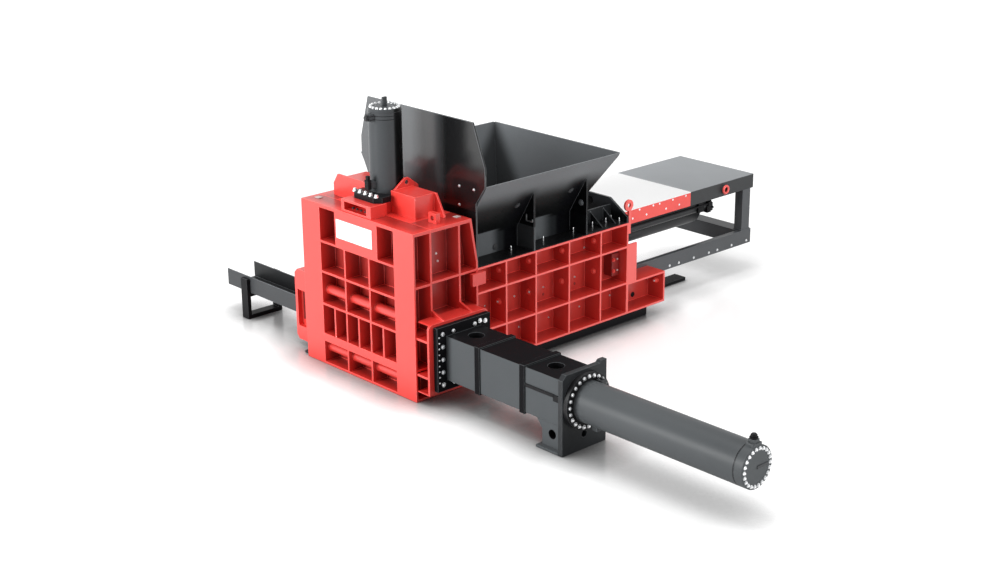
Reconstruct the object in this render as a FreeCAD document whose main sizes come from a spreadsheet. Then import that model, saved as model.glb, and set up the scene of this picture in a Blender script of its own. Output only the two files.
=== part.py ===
"""Three-ram scrap baler: welded head, press box, hopper, three rams and a bale gate.

Millimetres, +Z up.  The origin is on the floor under the middle of the bale chamber.
+X runs along the press box towards the main ram, -Y points at the side ram and +Y at
the chute where the bales leave.
"""
import FreeCAD, Part
import Sketcher
import os
import re

doc = FreeCAD.newDocument("recycling_baler")
dims = doc.addObject("Spreadsheet::Sheet", "Dims")

# Driving dimensions: one spreadsheet row each, alias in column A, millimetres in column B.
SIZES = {
    # bale chamber
    "bale_width": 600,
    "bale_height": 600,
    "charge_width": 2000,
    "bale_floor": 545,
    "liner": 30,
    "run_gap": 8,
    "fit_gap": 0.3,
    "seat_gap": 0.3,
    # head
    "head_front": 725,
    "head_back": 715,
    "head_back_top": 581,
    "head_slope_foot": 2200,
    "head_width": 3056,
    "head_height": 3000,
    "column_width": 518,
    "crate_rib": 40,
    "crate_depth": 320,
    "deck_thick": 60,
    "deck_beam": 240,
    "front_row_a": 2319,
    "front_row_b": 1753,
    "front_row_c": 1147,
    "front_row_d": 586,
    "front_band": 150,
    "side_row": 2060,
    "side_rib_front": 340,
    "side_rib_back": 300,
    "bar_radius": 90,
    "bar_high": 1385,
    "bar_low": 290,
    "bar_depth": 170,
    "panel_half": 580,
    "tie_front": 530,
    "tie_back": 830,
    "tie_low": 1800,
    "tie_high": 2020,
    "tie_proud": 75,
    # raised pad that carries the side guide
    "pad_front": 700,
    "pad_back": 640,
    "pad_bottom": 200,
    "pad_top": 1470,
    "pad_proud": 322,
    "pad_corner": 90,
    "pad_gusset": 110,
    "pad_plate": 45,
    "pad_pocket": 250,
    "pad_rib_low": 510,
    "pad_rib_high": 1160,
    # press box
    "box_base": 241,
    "box_top": 2050,
    "box_end": 4581,
    "wall_depth": 462,
    "wall_skin": 60,
    "row_low": 859,
    "row_high": 1580,
    "rib_a": 1449,
    "rib_b": 2176,
    "rib_c": 3016,
    "rib_d": 3844,
    "extension_end": 5634,
    "bracket_reach": 240,
    "bracket_top": 1619,
    "portal_thick": 45,
    "portal_shoulder": 120,
    "portal_top": 2460,
    "portal_hole": 75,
    "skid_height": 241,
    "outer_skid_width": 180,
    "outer_skid_place": 1216,
    "outer_skid_end": 5303,
    "inner_skid_width": 296,
    "inner_skid_place": 328,
    "inner_skid_end": 7395,
    "skid_tail_height": 72,
    # hopper
    "hopper_front": 747,
    "hopper_back": 4070,
    "hopper_throat_back": 3500,
    "hopper_half": 1660,
    "hopper_rim": 3534,
    "hopper_kink": 2434,
    "hopper_sheet": 36,
    "hopper_clear": 720,
    "hopper_ear": 3859,
    "hopper_peak": 4617,
    "hopper_peak_half": 1404,
    "hopper_rib": 2119,
    "hopper_rib_back": 3446,
    "gusset_a": 4330,
    "gusset_b": 3980,
    "gusset_top": 2330,
    "gusset_reach": 380,
    "curb_top": 2340,
    "shoulder_drop": 330,
    "eye_radius": 90,
    "eye_hole": 42,
    "eye_thick": 45,
    "box_eye_radius": 110,
    "box_eye_place": 10,
    "box_eye_rise": 334,
    "box_eye_stem": 60,
    # main ram
    "main_rest": 3475,
    "ram_top": 2091,
    "face_thick": 300,
    "shell_plate": 40,
    "wear_plate": 20,
    "skirt_bottom": 1800,
    "wear_end": 6880,
    "apron_end": 8820,
    "lug_offset": 1010,
    "leg_front": 8500,
    "leg_length": 240,
    "leg_width": 200,
    "leg_wall": 20,
    "shoe_thick": 24,
    "rail_top": 933,
    "rail_height": 300,
    "rail_width": 110,
    "rail_end": 8789,
    "tie_length": 330,
    "bulkhead_front": 3950,
    "bulkhead_thick": 200,
    "bulkhead_top": 1770,
    "main_barrel_radius": 350,
    "main_rod_radius": 130,
    "main_axis_height": 1380,
    "main_barrel_end": 7800,
    "aux_barrel_radius": 150,
    "aux_rod_radius": 70,
    "aux_axis_height": 1590,
    "aux_axis_place": 550,
    "aux_barrel_end": 7730,
    "cap_thick": 150,
    "barrel_wall": 45,
    "piston_length": 160,
    # top ram
    "platen_room": 261,
    "top_rod_radius": 140,
    "top_barrel_radius": 290,
    "top_barrel_rise": 1730,
    "top_cap_thick": 60,
    "lifting_bar_half": 45,
    "lifting_bar_rise": 165,
    "top_seat_rise": 222,
    "top_seat_front": 700,
    "top_seat_step": 340,
    "top_seat_back": 430,
    "top_seat_half": 400,
    "top_seat_neck": 300,
    "seat_bolt_pitch": 145,
    "seat_bolt_inset": 48,
    "top_flange_thick": 105,
    "top_flange_front": 520,
    "top_flange_step": 220,
    "top_flange_half": 370,
    "top_flange_clip": 110,
    "housing_front": 170,
    "housing_back": 300,
    "housing_inner": 310,
    "housing_outer": 944,
    "housing_rise": 400,
    "housing_lug_rise": 170,
    "near_brace_shoulder": 45,
    "near_brace_reach": 246,
    "near_brace_heel": 40,
    "far_brace_shoulder": 224,
    "far_brace_reach": 345,
    "far_brace_heel": 221,
    "ear_front": 70,
    "ear_thick": 100,
    "ear_outer": 1360,
    "ear_width": 190,
    "ear_rise": 180,
    "ear_hole": 45,
    "sill_place": 600,
    "sill_width": 120,
    "sill_end": 1720,
    # side ram
    "side_ram_length": 3200,
    "side_rest": 1000,
    "guide_half": 393,
    "guide_axis_height": 845,
    "guide_half_height": 395,
    "guide_end": 4700,
    "collar_proud": 25,
    "collar_a": 2725,
    "collar_b": 3795,
    "collar_width": 120,
    "leg_section": 4240,
    "foot_thick": 40,
    "drain_height": 260,
    "drain_radius": 60,
    "leg_hole": 80,
    "end_plate_thick": 98,
    "end_plate_half": 497,
    "end_plate_top": 1370,
    "port_size": 120,
    "port_inset": 24,
    "port_rise": 90,
    "flange_half": 600,
    "flange_half_height": 575,
    "flange_thick": 100,
    "flange_bolt_inset": 120,
    "hatch_radius": 138,
    "hatch_a": 2260,
    "hatch_b": 4160,
    "side_barrel_radius": 345,
    "side_rod_radius": 150,
    "side_ring_radius": 485,
    "side_ring_thick": 90,
    "side_port_place": 225,
    "side_bolt_circle": 425,
    "side_barrel_end": 8100,
    "side_cap_thick": 163,
    # gate and chute
    "gate_frame_depth": 652,
    "gate_frame_half": 480,
    "gate_frame_bottom": 110,
    "gate_frame_top": 1480,
    "gate_corner": 75,
    "gate_place": 1950,
    "gate_thick": 100,
    "gate_margin": 45,
    "gate_lip": 50,
    "gate_access_margin": 60,
    "gate_access_low": 380,
    "gate_access_high": 1085,
    "gate_rest_front": 400,
    "gate_overrun": 200,
    "gate_bracket_margin": 80,
    "gate_rod_reach": 300,
    "gate_barrel_radius": 90,
    "gate_rod_radius": 45,
    "gate_barrel_end": 2300,
    "chute_end": 4617,
    "chute_wall_top": 850,
    "chute_sheet": 20,
    "chute_leg_place": 3870,
    "chute_leg_thick": 80,
    "chute_leg_width": 200,
    # fasteners
    "big_bolt": 32,
    "big_bolt_head": 34,
}

for row, (alias, millimetres) in enumerate(SIZES.items(), start=1):
    dims.set("A%d" % row, alias)
    dims.set("B%d" % row, str(millimetres))
    dims.setAlias("B%d" % row, alias)
doc.recompute()

WORD = re.compile(r"[a-z][a-z_]*")
nodes = []


def bound(text):
    """Expression in which every driving dimension is read from the spreadsheet."""
    return WORD.sub(lambda found: "Dims." + found.group() if found.group() in SIZES
                    else found.group(), text)


def bind(thing, **properties):
    """Bind properties such as Length or Base_x of a document object to expressions."""
    for name, text in properties.items():
        path = "Placement.Base." + name[-1] if name.startswith("Base_") else name
        thing.setExpression(path, bound(text))
    return thing


def node(label, thing):
    """Name a finished sub-part."""
    thing.Label = label
    nodes.append(thing)
    return thing


def block(x, y, z):
    """Cuboid between pairs of expressions."""
    cuboid = doc.addObject("Part::Box", "Block")
    return bind(cuboid, Base_x=x[0], Base_y=y[0], Base_z=z[0],
                Length="(%s) - (%s)" % (x[1], x[0]),
                Width="(%s) - (%s)" % (y[1], y[0]),
                Height="(%s) - (%s)" % (z[1], z[0]))


AXES = {"x": FreeCAD.Rotation(FreeCAD.Vector(0, 0, 1), FreeCAD.Vector(1, 0, 0)),
        "-x": FreeCAD.Rotation(FreeCAD.Vector(0, 0, 1), FreeCAD.Vector(-1, 0, 0)),
        "y": FreeCAD.Rotation(FreeCAD.Vector(0, 0, 1), FreeCAD.Vector(0, 1, 0)),
        "-y": FreeCAD.Rotation(FreeCAD.Vector(0, 0, 1), FreeCAD.Vector(0, -1, 0)),
        "z": FreeCAD.Rotation()}


def aim(thing, axis, place):
    """Turn an object whose own axis is +Z and set the expressions of its base point."""
    thing.Placement = FreeCAD.Placement(FreeCAD.Vector(), AXES[axis])
    return bind(thing, Base_x=place[0], Base_y=place[1], Base_z=place[2])


def round_bar(axis, place, length, radius):
    """Cylinder from a base point along an axis."""
    cylinder = doc.addObject("Part::Cylinder", "Round")
    bind(cylinder, Radius=radius, Height=length)
    return aim(cylinder, axis, place)


def hexagon(axis, place, length, radius):
    """Hexagon head of a bolt."""
    prism = doc.addObject("Part::Prism", "Hexagon")
    prism.Polygon = 6
    bind(prism, Circumradius=radius, Height=length)
    return aim(prism, axis, place)


def fused(*things):
    """One welded solid out of several objects."""
    union = doc.addObject("Part::MultiFuse", "Weldment")
    union.Shapes = list(things)
    union.Refine = True
    return union


def group(things):
    """Separate solids kept in one sub-part, such as a set of like bolts."""
    compound = doc.addObject("Part::Compound", "Set")
    compound.Links = list(things)
    return compound


def cut(base, *tools):
    """Base with the tools taken away."""
    difference = doc.addObject("Part::Cut", "Cut")
    difference.Base = base
    difference.Tool = tools[0] if len(tools) == 1 else fused(*tools)
    difference.Refine = True
    return difference


def common(base, tool):
    """What two objects share."""
    shared = doc.addObject("Part::Common", "Shared")
    shared.Base = base
    shared.Tool = tool
    return shared


def mirrored(thing):
    """Opposite-hand copy across the X-Z plane."""
    mirror = doc.addObject("Part::Mirroring", "Mirror")
    mirror.Source = thing
    mirror.Normal = FreeCAD.Vector(0, 1, 0)
    return mirror


def origin_plane(body, role):
    """Origin plane of a body."""
    return next(plane for plane in body.Origin.OriginFeatures if plane.Role == role)


def add_outline(sketch, points):
    """Closed outline whose corners each take two bound coordinates."""
    count = len(points)
    first = sketch.GeometryCount
    spread = 10.0
    for index in range(count):
        start = FreeCAD.Vector(spread * index, spread * (index % 2), 0)
        end = FreeCAD.Vector(spread * (index + 1), spread * ((index + 1) % 2), 0)
        sketch.addGeometry(Part.LineSegment(start, end), False)
    for index, (across, up) in enumerate(points):
        line = first + index
        before = first + (index - 1) % count
        sketch.addConstraint(Sketcher.Constraint("Coincident", before, 2, line, 1))
        for kind, text in (("DistanceX", across), ("DistanceY", up)):
            number = sketch.addConstraint(Sketcher.Constraint(kind, -1, 1, line, 1, spread))
            sketch.setExpression("Constraints[%d]" % number, bound(text))


def plate(role, points, start, length):
    """Padded outline: XZ plates grow towards -Y, YZ plates towards +X, XY plates up."""
    body = doc.addObject("PartDesign::Body", "Plate")
    sketch = body.newObject("Sketcher::SketchObject", "Outline")
    sketch.AttachmentSupport = [(origin_plane(body, role), "")]
    sketch.MapMode = "FlatFace"
    sketch.setExpression("AttachmentOffset.Base.z",
                         bound("-(%s)" % start if role == "XZ_Plane" else start))
    add_outline(sketch, points)
    pad = body.newObject("PartDesign::Pad", "Thickness")
    pad.Profile = sketch
    pad.setExpression("Length", bound(length))
    body.Tip = pad
    return body


def turned(points, axis, place):
    """Profile of radius and height turned about its axis, then aimed at a place."""
    body = doc.addObject("PartDesign::Body", "Turned")
    sketch = body.newObject("Sketcher::SketchObject", "Profile")
    sketch.AttachmentSupport = [(origin_plane(body, "XZ_Plane"), "")]
    sketch.MapMode = "FlatFace"
    add_outline(sketch, points)
    revolution = body.newObject("PartDesign::Revolution", "Turn")
    revolution.Profile = sketch
    revolution.ReferenceAxis = (sketch, ["V_Axis"])
    revolution.Angle = 360
    body.Tip = revolution
    return aim(body, axis, place)


def bolt_ring(count, centre, circle):
    """Ring of hexagon heads around an axis along -Y."""
    heads = []
    for index in range(count):
        angle = "%g" % (360.0 * index / count)
        place = ("(%s) + (%s) * cos(%s)" % (centre[0], circle, angle), centre[1],
                 "(%s) + (%s) * sin(%s)" % (centre[2], circle, angle))
        heads.append(hexagon("-y", place, "big_bolt_head", "big_bolt"))
    return heads


# Shared places, each an expression of the driving dimensions.
HALF_BALE = "bale_width / 2"
HALF_CHARGE = "charge_width / 2"
HALF_HEAD = "head_width / 2"
BOX_HALF = "(charge_width / 2 + wall_depth)"
CHAMBER_FRONT = "(bale_width / 2 + liner)"
COLUMN_INNER = "(head_width / 2 - column_width)"
BALE_TOP = "(bale_floor + bale_height)"
RAM_HALF = "(charge_width / 2 - run_gap)"
FLOOR_UNDER = "(bale_floor - liner)"
HEAD_ROOM = "(ram_top + run_gap)"
DECK_UNDER = "(head_height - deck_beam)"
PLATEN_TOP = "(head_height - deck_beam - platen_room)"
SEAT_TOP = "(head_height + top_seat_rise)"
TOP_FLANGE = "(head_height + top_seat_rise + top_flange_thick)"
TOP_BARREL_END = "(head_height + top_barrel_rise)"
HOUSING_TOP = "(head_height + housing_rise)"
HOUSING_LUG_TOP = "(head_height + housing_rise + housing_lug_rise)"


# ---------------------------------------------------------------- head front
def head_front_frame():
    """Cross-ribbed front of the head: two columns, five rows of pockets and round bars."""
    inner = COLUMN_INNER
    base = block(("-head_front", "-%s" % CHAMBER_FRONT), ("-%s" % HALF_HEAD, HALF_HEAD),
                 ("0", "head_height"))
    depth = ("-head_front - crate_rib", "-head_front + crate_depth")
    rows = ((("front_row_a + crate_rib / 2", "head_height - deck_thick"), 3),
            (("front_row_b + crate_rib / 2", "front_row_a - crate_rib / 2"), 3),
            (("front_row_c + crate_rib / 2", "front_row_b - crate_rib / 2"), 3),
            (("front_row_d", "front_row_c - crate_rib / 2"), 6),
            (("crate_rib", "front_row_d - front_band"), 3))
    pockets = []
    for number, (height, cells) in enumerate(rows):
        pitch = "(2 * %s / %d)" % (inner, cells)
        for cell in range(cells):
            if number == 0 and cell == 1:
                continue
            side = ("-%s + %d * %s + crate_rib / 2" % (inner, cell, pitch),
                    "-%s + %d * %s - crate_rib / 2" % (inner, cell + 1, pitch))
            if number == 0:
                side = ("panel_half", "-panel_half")
            if cell == 0:
                side = ("-%s" % inner, side[1])
            if cell == cells - 1:
                side = (side[0], inner)
            pockets.append(block(depth, side, height))
    for hand in ("-1", "1"):
        edges = ("%s * (%s + crate_rib)" % (hand, HALF_HEAD),
                 "%s * (%s - crate_depth)" % (hand, HALF_HEAD))
        side = edges if hand == "-1" else (edges[1], edges[0])
        reach = ("-head_front + crate_rib", "-side_rib_front - crate_rib / 2")
        for height in (("crate_rib", "front_row_d - crate_rib"),
                       ("front_row_d", "front_row_c"),
                       ("front_row_c + crate_rib", "side_row - crate_rib"),
                       ("side_row", "head_height - deck_thick")):
            pockets.append(block(reach, side, height))
    bars = []
    for height in ("bar_high", "bar_low"):
        bars.append(round_bar("y", ("bar_depth - head_front", "-%s" % inner, height),
                              "2 * %s" % inner, "bar_radius"))
    return fused(cut(base, *pockets), *bars)


node("head_front_frame", head_front_frame())
node("head_foot", block(("-sill_place - sill_width / 2", "sill_width / 2 - sill_place"),
                        ("%s + seat_gap" % HALF_HEAD, "sill_end"), ("0", "crate_rib")))


# ---------------------------------------------------------------- head sides
def head_side():
    """Near side of the head: sloped rear edge, ribs, and the window of the side ram."""
    outline = (("-%s" % CHAMBER_FRONT, "0"), ("head_back", "0"),
               ("head_back", "head_slope_foot"), ("head_back_top", "head_height"),
               ("-%s" % CHAMBER_FRONT, "head_height"))
    wall = plate("XZ_Plane", outline, "-%s" % HALF_CHARGE, "head_width / 2 - charge_width / 2")
    depth = ("-%s - crate_rib" % HALF_HEAD, "-%s + crate_depth" % HALF_HEAD)
    middle = ("-side_rib_front + crate_rib / 2", "side_rib_back - crate_rib / 2")
    pockets = [block(middle, depth, ("side_row + crate_rib / 2", "head_height - deck_thick")),
               block(middle, depth, ("pad_top - crate_rib", "side_row - crate_rib / 2")),
               block(("side_rib_back + crate_rib / 2", "head_back - crate_rib"), depth,
                     ("pad_top - crate_rib", "side_row - crate_rib / 2"))]
    slope = (("side_rib_back + crate_rib / 2", "side_row + crate_rib / 2"),
             ("head_back - crate_rib", "side_row + crate_rib / 2"),
             ("head_back - crate_rib", "head_slope_foot"),
             ("head_back_top - crate_rib", "head_height - deck_thick"),
             ("side_rib_back + crate_rib / 2", "head_height - deck_thick"))
    pockets.append(plate("XZ_Plane", slope, "-%s + crate_depth" % HALF_HEAD, "crate_depth + crate_rib"))
    return cut(wall, *pockets)


def pad_block():
    """Raised pad on the side of the head with rounded upper corners."""
    pad = block(("-pad_front", "pad_back"), ("-%s - pad_proud" % HALF_HEAD, "-%s" % HALF_HEAD),
                ("pad_bottom", "pad_top"))
    rounded = doc.addObject("Part::Fillet", "PadCorners")
    rounded.Base = pad
    doc.recompute()
    middle = pad.Shape.BoundBox.Center
    radius = dims.get("pad_corner")
    edges = [number for number, edge in enumerate(pad.Shape.Edges, start=1)
             if abs(edge.tangentAt(0).y) > 0.9 and edge.CenterOfMass.z > middle.z]
    rounded.Edges = [(number, radius, radius) for number in edges]
    brace = (("-%s - pad_proud" % HALF_HEAD, "pad_top"), ("-%s" % HALF_HEAD, "pad_top"),
             ("-%s" % HALF_HEAD, "pad_top + pad_gusset"))
    braces = [plate("YZ_Plane", brace, "%s - crate_rib / 2" % place, "crate_rib")
              for place in ("-side_rib_front", "side_rib_back")]
    inside = ("pad_plate - %s - pad_proud" % HALF_HEAD, "crate_rib - %s" % HALF_HEAD)
    levels = ("pad_bottom", "pad_rib_low", "pad_rib_high", "pad_top")
    pockets = [block(("-pad_front - crate_rib", "pad_pocket - pad_front"), inside,
                     ("%s + crate_rib / 2" % low, "%s - crate_rib / 2" % high))
               for low, high in zip(levels, levels[1:])]
    return cut(fused(rounded, *braces), *pockets)


def ram_passage(start, end):
    """Square passage of the side ram and the bale along Y."""
    return block(("-%s" % HALF_BALE, HALF_BALE), (start, end), ("bale_floor", BALE_TOP))


tie = block(("tie_front", "tie_back"), ("-%s - tie_proud" % HALF_HEAD, "-%s" % HALF_HEAD),
            ("tie_low", "tie_high"))
near_passage = ram_passage("-%s - pad_proud - crate_rib" % HALF_HEAD, "-%s + crate_rib" % HALF_CHARGE)
node("head_near_side", cut(fused(head_side(), pad_block(), tie), near_passage))
far_passage = ram_passage("%s - crate_rib" % HALF_CHARGE, "%s + crate_rib" % HALF_HEAD)
node("head_far_side", cut(mirrored(head_side()), far_passage))


def lifting_ear():
    """Thick upright plate with a hole on the near side of the head, beside the deck."""
    slab = block(("-ear_front", "ear_thick - ear_front"), ("-ear_outer", "ear_width - ear_outer"),
                 ("head_height + seat_gap", "head_height + ear_rise"))
    hole = round_bar("x", ("-ear_front - crate_rib", "ear_width / 2 - ear_outer",
                           "head_height + ear_rise / 2"), "ear_thick + 2 * crate_rib", "ear_hole")
    return cut(slab, hole)


node("head_lifting_ear", lifting_ear())


# ---------------------------------------------------------------- head top, back and base
def head_deck():
    """Deck and rear cross beam between the sides, bored for the rod of the top ram."""
    deck = block(("-%s" % CHAMBER_FRONT, "head_back_top"), ("-%s" % HALF_CHARGE, HALF_CHARGE),
                 (DECK_UNDER, "head_height"))
    beam = block((CHAMBER_FRONT, "head_back_top"), ("-%s" % HALF_CHARGE, HALF_CHARGE),
                 (HEAD_ROOM, DECK_UNDER))
    bore = round_bar("z", ("0", "0", "%s - crate_rib" % DECK_UNDER), "deck_beam + 2 * crate_rib",
                     "top_rod_radius + fit_gap")
    return cut(fused(deck, beam), bore)


def bed():
    """Bed under the chamber and the press box, level under the floor liner."""
    head = block(("-%s" % CHAMBER_FRONT, "head_back"), ("-%s" % HALF_CHARGE, HALF_CHARGE),
                 ("0", FLOOR_UNDER))
    box = block(("head_back", "box_end"), ("-%s" % HALF_CHARGE, HALF_CHARGE),
                ("box_base", FLOOR_UNDER))
    return fused(head, box)


node("head_deck", head_deck())
node("bed", bed())
node("floor_liner", block(("-%s" % CHAMBER_FRONT, "box_end"), ("-%s" % HALF_CHARGE, HALF_CHARGE),
                          (FLOOR_UNDER, "bale_floor")))
node("front_liner", block(("-%s" % CHAMBER_FRONT, "-%s" % HALF_BALE),
                          ("-%s" % HALF_CHARGE, HALF_CHARGE),
                          ("bale_floor", DECK_UNDER)))


# ---------------------------------------------------------------- press box
def press_box_wall():
    """Near wall of the press box: pockets between ribs, and the low extension behind it."""
    outer = "-%s" % BOX_HALF
    wall = block(("head_back", "box_end"), (outer, "-%s" % HALF_CHARGE), ("box_base", "box_top"))
    tail = block(("box_end", "extension_end"), (outer, "-%s" % HALF_CHARGE), ("box_base", "row_low"))
    depth = ("%s - crate_rib" % outer, "-%s - wall_skin" % HALF_CHARGE)
    lines = ("head_back + crate_rib / 2", "rib_a", "rib_b", "rib_c", "rib_d", "box_end - crate_rib / 2")
    rows = (("box_base + crate_rib / 2", "row_low"), ("row_low", "row_high"),
            ("row_high", "box_top - crate_rib / 2"))
    pockets = []
    for low, high in rows:
        for start, end in zip(lines, lines[1:]):
            pockets.append(block(("%s + crate_rib / 2" % start, "%s - crate_rib / 2" % end), depth,
                                 ("%s + crate_rib / 2" % low, "%s - crate_rib / 2" % high)))
    pockets.append(block(("box_end + crate_rib / 2", "extension_end - crate_rib"), depth,
                         ("box_base + crate_rib", "row_low - crate_rib")))
    bracket = block(("box_end", "box_end + bracket_reach"), (outer, "%s + crate_rib" % outer),
                    ("row_low", "bracket_top"))
    centre = ("box_end + box_eye_place", "eye_thick - %s" % BOX_HALF, "box_top + box_eye_rise")
    eye = round_bar("-y", centre, "eye_thick", "box_eye_radius")
    stem = block(("box_end", "box_end + box_eye_stem"), (outer, "eye_thick - %s" % BOX_HALF),
                 ("box_top - 2 * box_eye_radius", "box_top + box_eye_rise"))
    pockets.append(round_bar("-y", (centre[0], "2 * eye_thick - %s" % BOX_HALF, centre[2]),
                             "3 * eye_thick", "eye_hole"))
    return cut(fused(wall, tail, bracket, eye, stem), *pockets)


near_box_wall = press_box_wall()
node("press_box_near_wall", near_box_wall)
node("press_box_far_wall", mirrored(near_box_wall))


def skid(place, width):
    """Long box beam under the press box."""
    sides = ("%s - %s / 2" % (place, width), "%s + %s / 2" % (place, width))
    return block(("head_back", "outer_skid_end"), sides, ("0", "skid_height"))


def skid_tail(place):
    """Low flat end of an inner skid that reaches out under the carriage."""
    return block(("outer_skid_end - crate_rib", "inner_skid_end"),
                 ("%s - inner_skid_width / 2" % place, "%s + inner_skid_width / 2" % place),
                 ("0", "skid_tail_height"))


for side, hand in (("near", "-"), ("far", "")):
    node("skid_%s_outer" % side, skid(hand + "outer_skid_place", "outer_skid_width"))
    inner_place = hand + "inner_skid_place"
    node("skid_%s_inner" % side, fused(skid(inner_place, "inner_skid_width"), skid_tail(inner_place)))


def rear_portal():
    """Arched plate at the rear of the box with sloping shoulders and a lifting hole."""
    outline = (("-%s" % BOX_HALF, "box_top"), ("-%s" % HALF_CHARGE, "box_top"),
               ("-%s" % HALF_CHARGE, HEAD_ROOM), (HALF_CHARGE, HEAD_ROOM),
               (HALF_CHARGE, "box_top"), (BOX_HALF, "box_top"),
               (BOX_HALF, "box_top + portal_shoulder"), (HALF_CHARGE, "portal_top"),
               ("-%s" % HALF_CHARGE, "portal_top"), ("-%s" % BOX_HALF, "box_top + portal_shoulder"))
    portal = plate("YZ_Plane", outline, "box_end - portal_thick", "portal_thick")
    holes = [round_bar("x", ("box_end - 2 * portal_thick", "%s%s / 2" % (hand, HALF_CHARGE),
                             "portal_top - 2 * portal_hole"), "3 * portal_thick", "portal_hole")
             for hand in ("-", "")]
    return cut(portal, *holes)


node("rear_portal", rear_portal())


# ---------------------------------------------------------------- hopper
def hopper_section(shift):
    """Corner points of the hopper side in the Y-Z plane, moved outwards by a shift."""
    return (("-hopper_half - %s" % shift, "hopper_rim"),
            ("-%s - %s" % (HALF_CHARGE, shift), "hopper_kink"),
            ("-%s - %s" % (HALF_CHARGE, shift), "box_top"))


def hopper_side():
    """Near side of the hopper: flare, throat, three tall ribs and two gussets."""
    inner = hopper_section("0")
    outer = hopper_section("hopper_sheet")
    sheet = plate("YZ_Plane", inner + outer[::-1], "hopper_front + hopper_sheet",
                  "hopper_back - hopper_front - hopper_sheet")
    beyond = (("hopper_throat_back + hopper_sheet", "box_top - crate_rib"),
              ("hopper_throat_back + hopper_sheet", "hopper_kink"),
              ("hopper_back + hopper_sheet", "hopper_rim"),
              ("hopper_back + hopper_sheet", "hopper_rim + crate_rib"),
              ("hopper_back + hopper_clear", "hopper_rim + crate_rib"),
              ("hopper_back + hopper_clear", "box_top - crate_rib"))
    trimmed = cut(sheet, plate("XZ_Plane", beyond, "0", "2 * hopper_half"))
    slope = "((hopper_half - %s) / (hopper_rim - hopper_kink))" % HALF_CHARGE
    rib = (("-%s" % BOX_HALF, "box_top"), ("-%s - hopper_sheet" % HALF_CHARGE, "box_top"),
           ("-%s - hopper_sheet" % HALF_CHARGE, "hopper_kink"),
           ("-%s" % BOX_HALF, "hopper_kink + wall_depth / %s" % slope))
    ribs = [plate("YZ_Plane", rib, place, "hopper_sheet")
            for place in ("hopper_rib", "hopper_rib_back")]
    gusset = (("-%s" % HALF_CHARGE, "box_top"), ("-%s" % HALF_CHARGE, "gusset_top"),
              ("-%s - gusset_reach" % HALF_CHARGE, "box_top"))
    gussets = [plate("YZ_Plane", gusset, place, "hopper_sheet / 2") for place in ("gusset_a", "gusset_b")]
    curb = block(("hopper_throat_back + hopper_sheet", "box_end - portal_thick"),
                 ("-%s - hopper_sheet" % HALF_CHARGE, "-%s" % HALF_CHARGE), ("box_top", "curb_top"))
    return fused(trimmed, curb, *(ribs + gussets))


near_hopper_side = hopper_side()
node("hopper_near_wall", near_hopper_side)
node("hopper_far_wall", mirrored(near_hopper_side))


def hopper_front():
    """Tall end wall at the head with flared shoulders and clipped upper corners."""
    half = (("-%s" % BOX_HALF, "box_top"), ("-%s" % BOX_HALF, "hopper_rim - shoulder_drop"),
            ("-hopper_half - hopper_sheet", "hopper_rim"),
            ("-hopper_half - hopper_sheet", "hopper_ear"),
            ("-hopper_peak_half", "hopper_peak"))
    outline = half + tuple((across[1:], up) for across, up in half[::-1])
    outline = outline + ((HALF_CHARGE, "box_top"), (HALF_CHARGE, HEAD_ROOM),
                         ("-%s" % HALF_CHARGE, HEAD_ROOM), ("-%s" % HALF_CHARGE, "box_top"))
    return plate("YZ_Plane", outline, "hopper_front", "hopper_sheet")


node("hopper_front_wall", hopper_front())


def hopper_rear():
    """Sloping rear wall of the hopper, fitted between its sides."""
    section = (("hopper_throat_back", HEAD_ROOM), ("hopper_throat_back", "hopper_kink"),
               ("hopper_back", "hopper_rim"), ("hopper_back + hopper_sheet", "hopper_rim"),
               ("hopper_throat_back + hopper_sheet", "hopper_kink"),
               ("hopper_throat_back + hopper_sheet", HEAD_ROOM))
    sheet = plate("XZ_Plane", section, "hopper_half", "2 * hopper_half")
    inner = hopper_section("0")
    inside = inner + tuple((across[1:].replace("- 0", ""), up) for across, up in inner[::-1])
    return common(sheet, plate("YZ_Plane", inside, "hopper_front", "2 * hopper_back"))


node("hopper_rear_wall", hopper_rear())


# ---------------------------------------------------------------- rails behind the box
def rail(hand):
    """Cantilever rail that carries one leg of the main ram carriage."""
    sides = ("-%s" % HALF_CHARGE, "-%s + rail_width" % HALF_CHARGE)
    if hand > 0:
        sides = ("%s - rail_width" % HALF_CHARGE, HALF_CHARGE)
    return block(("box_end", "rail_end"), sides, ("rail_top - rail_height", "rail_top"))


node("rail_near", rail(-1))
node("rail_far", rail(1))
node("rail_end_tie", block(("rail_end - tie_length", "rail_end"),
                           ("-%s + rail_width" % HALF_CHARGE, "%s - rail_width" % HALF_CHARGE),
                           ("rail_top - rail_height", "rail_top")))


# ---------------------------------------------------------------- hydraulic cylinders
def barrel(axis, place, end, radius):
    """Barrel with a thick bottom, bored for the piston; its mount closes the open end."""
    bore = "(%s - barrel_wall)" % radius
    bottom = "(%s + cap_thick)" % end
    profile = ((bore, "0"), (radius, "0"), (radius, bottom), ("0", bottom), ("0", end), (bore, end))
    return turned(profile, axis, place)


def ram_rod(axis, place, length, radius, barrel_radius):
    """Piston rod with its piston at the barrel end."""
    piston = "(%s - barrel_wall - fit_gap)" % barrel_radius
    profile = (("0", "0"), (radius, "0"), (radius, "(%s) - piston_length" % length),
               (piston, "(%s) - piston_length" % length), (piston, length), ("0", length))
    return turned(profile, axis, place)


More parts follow.
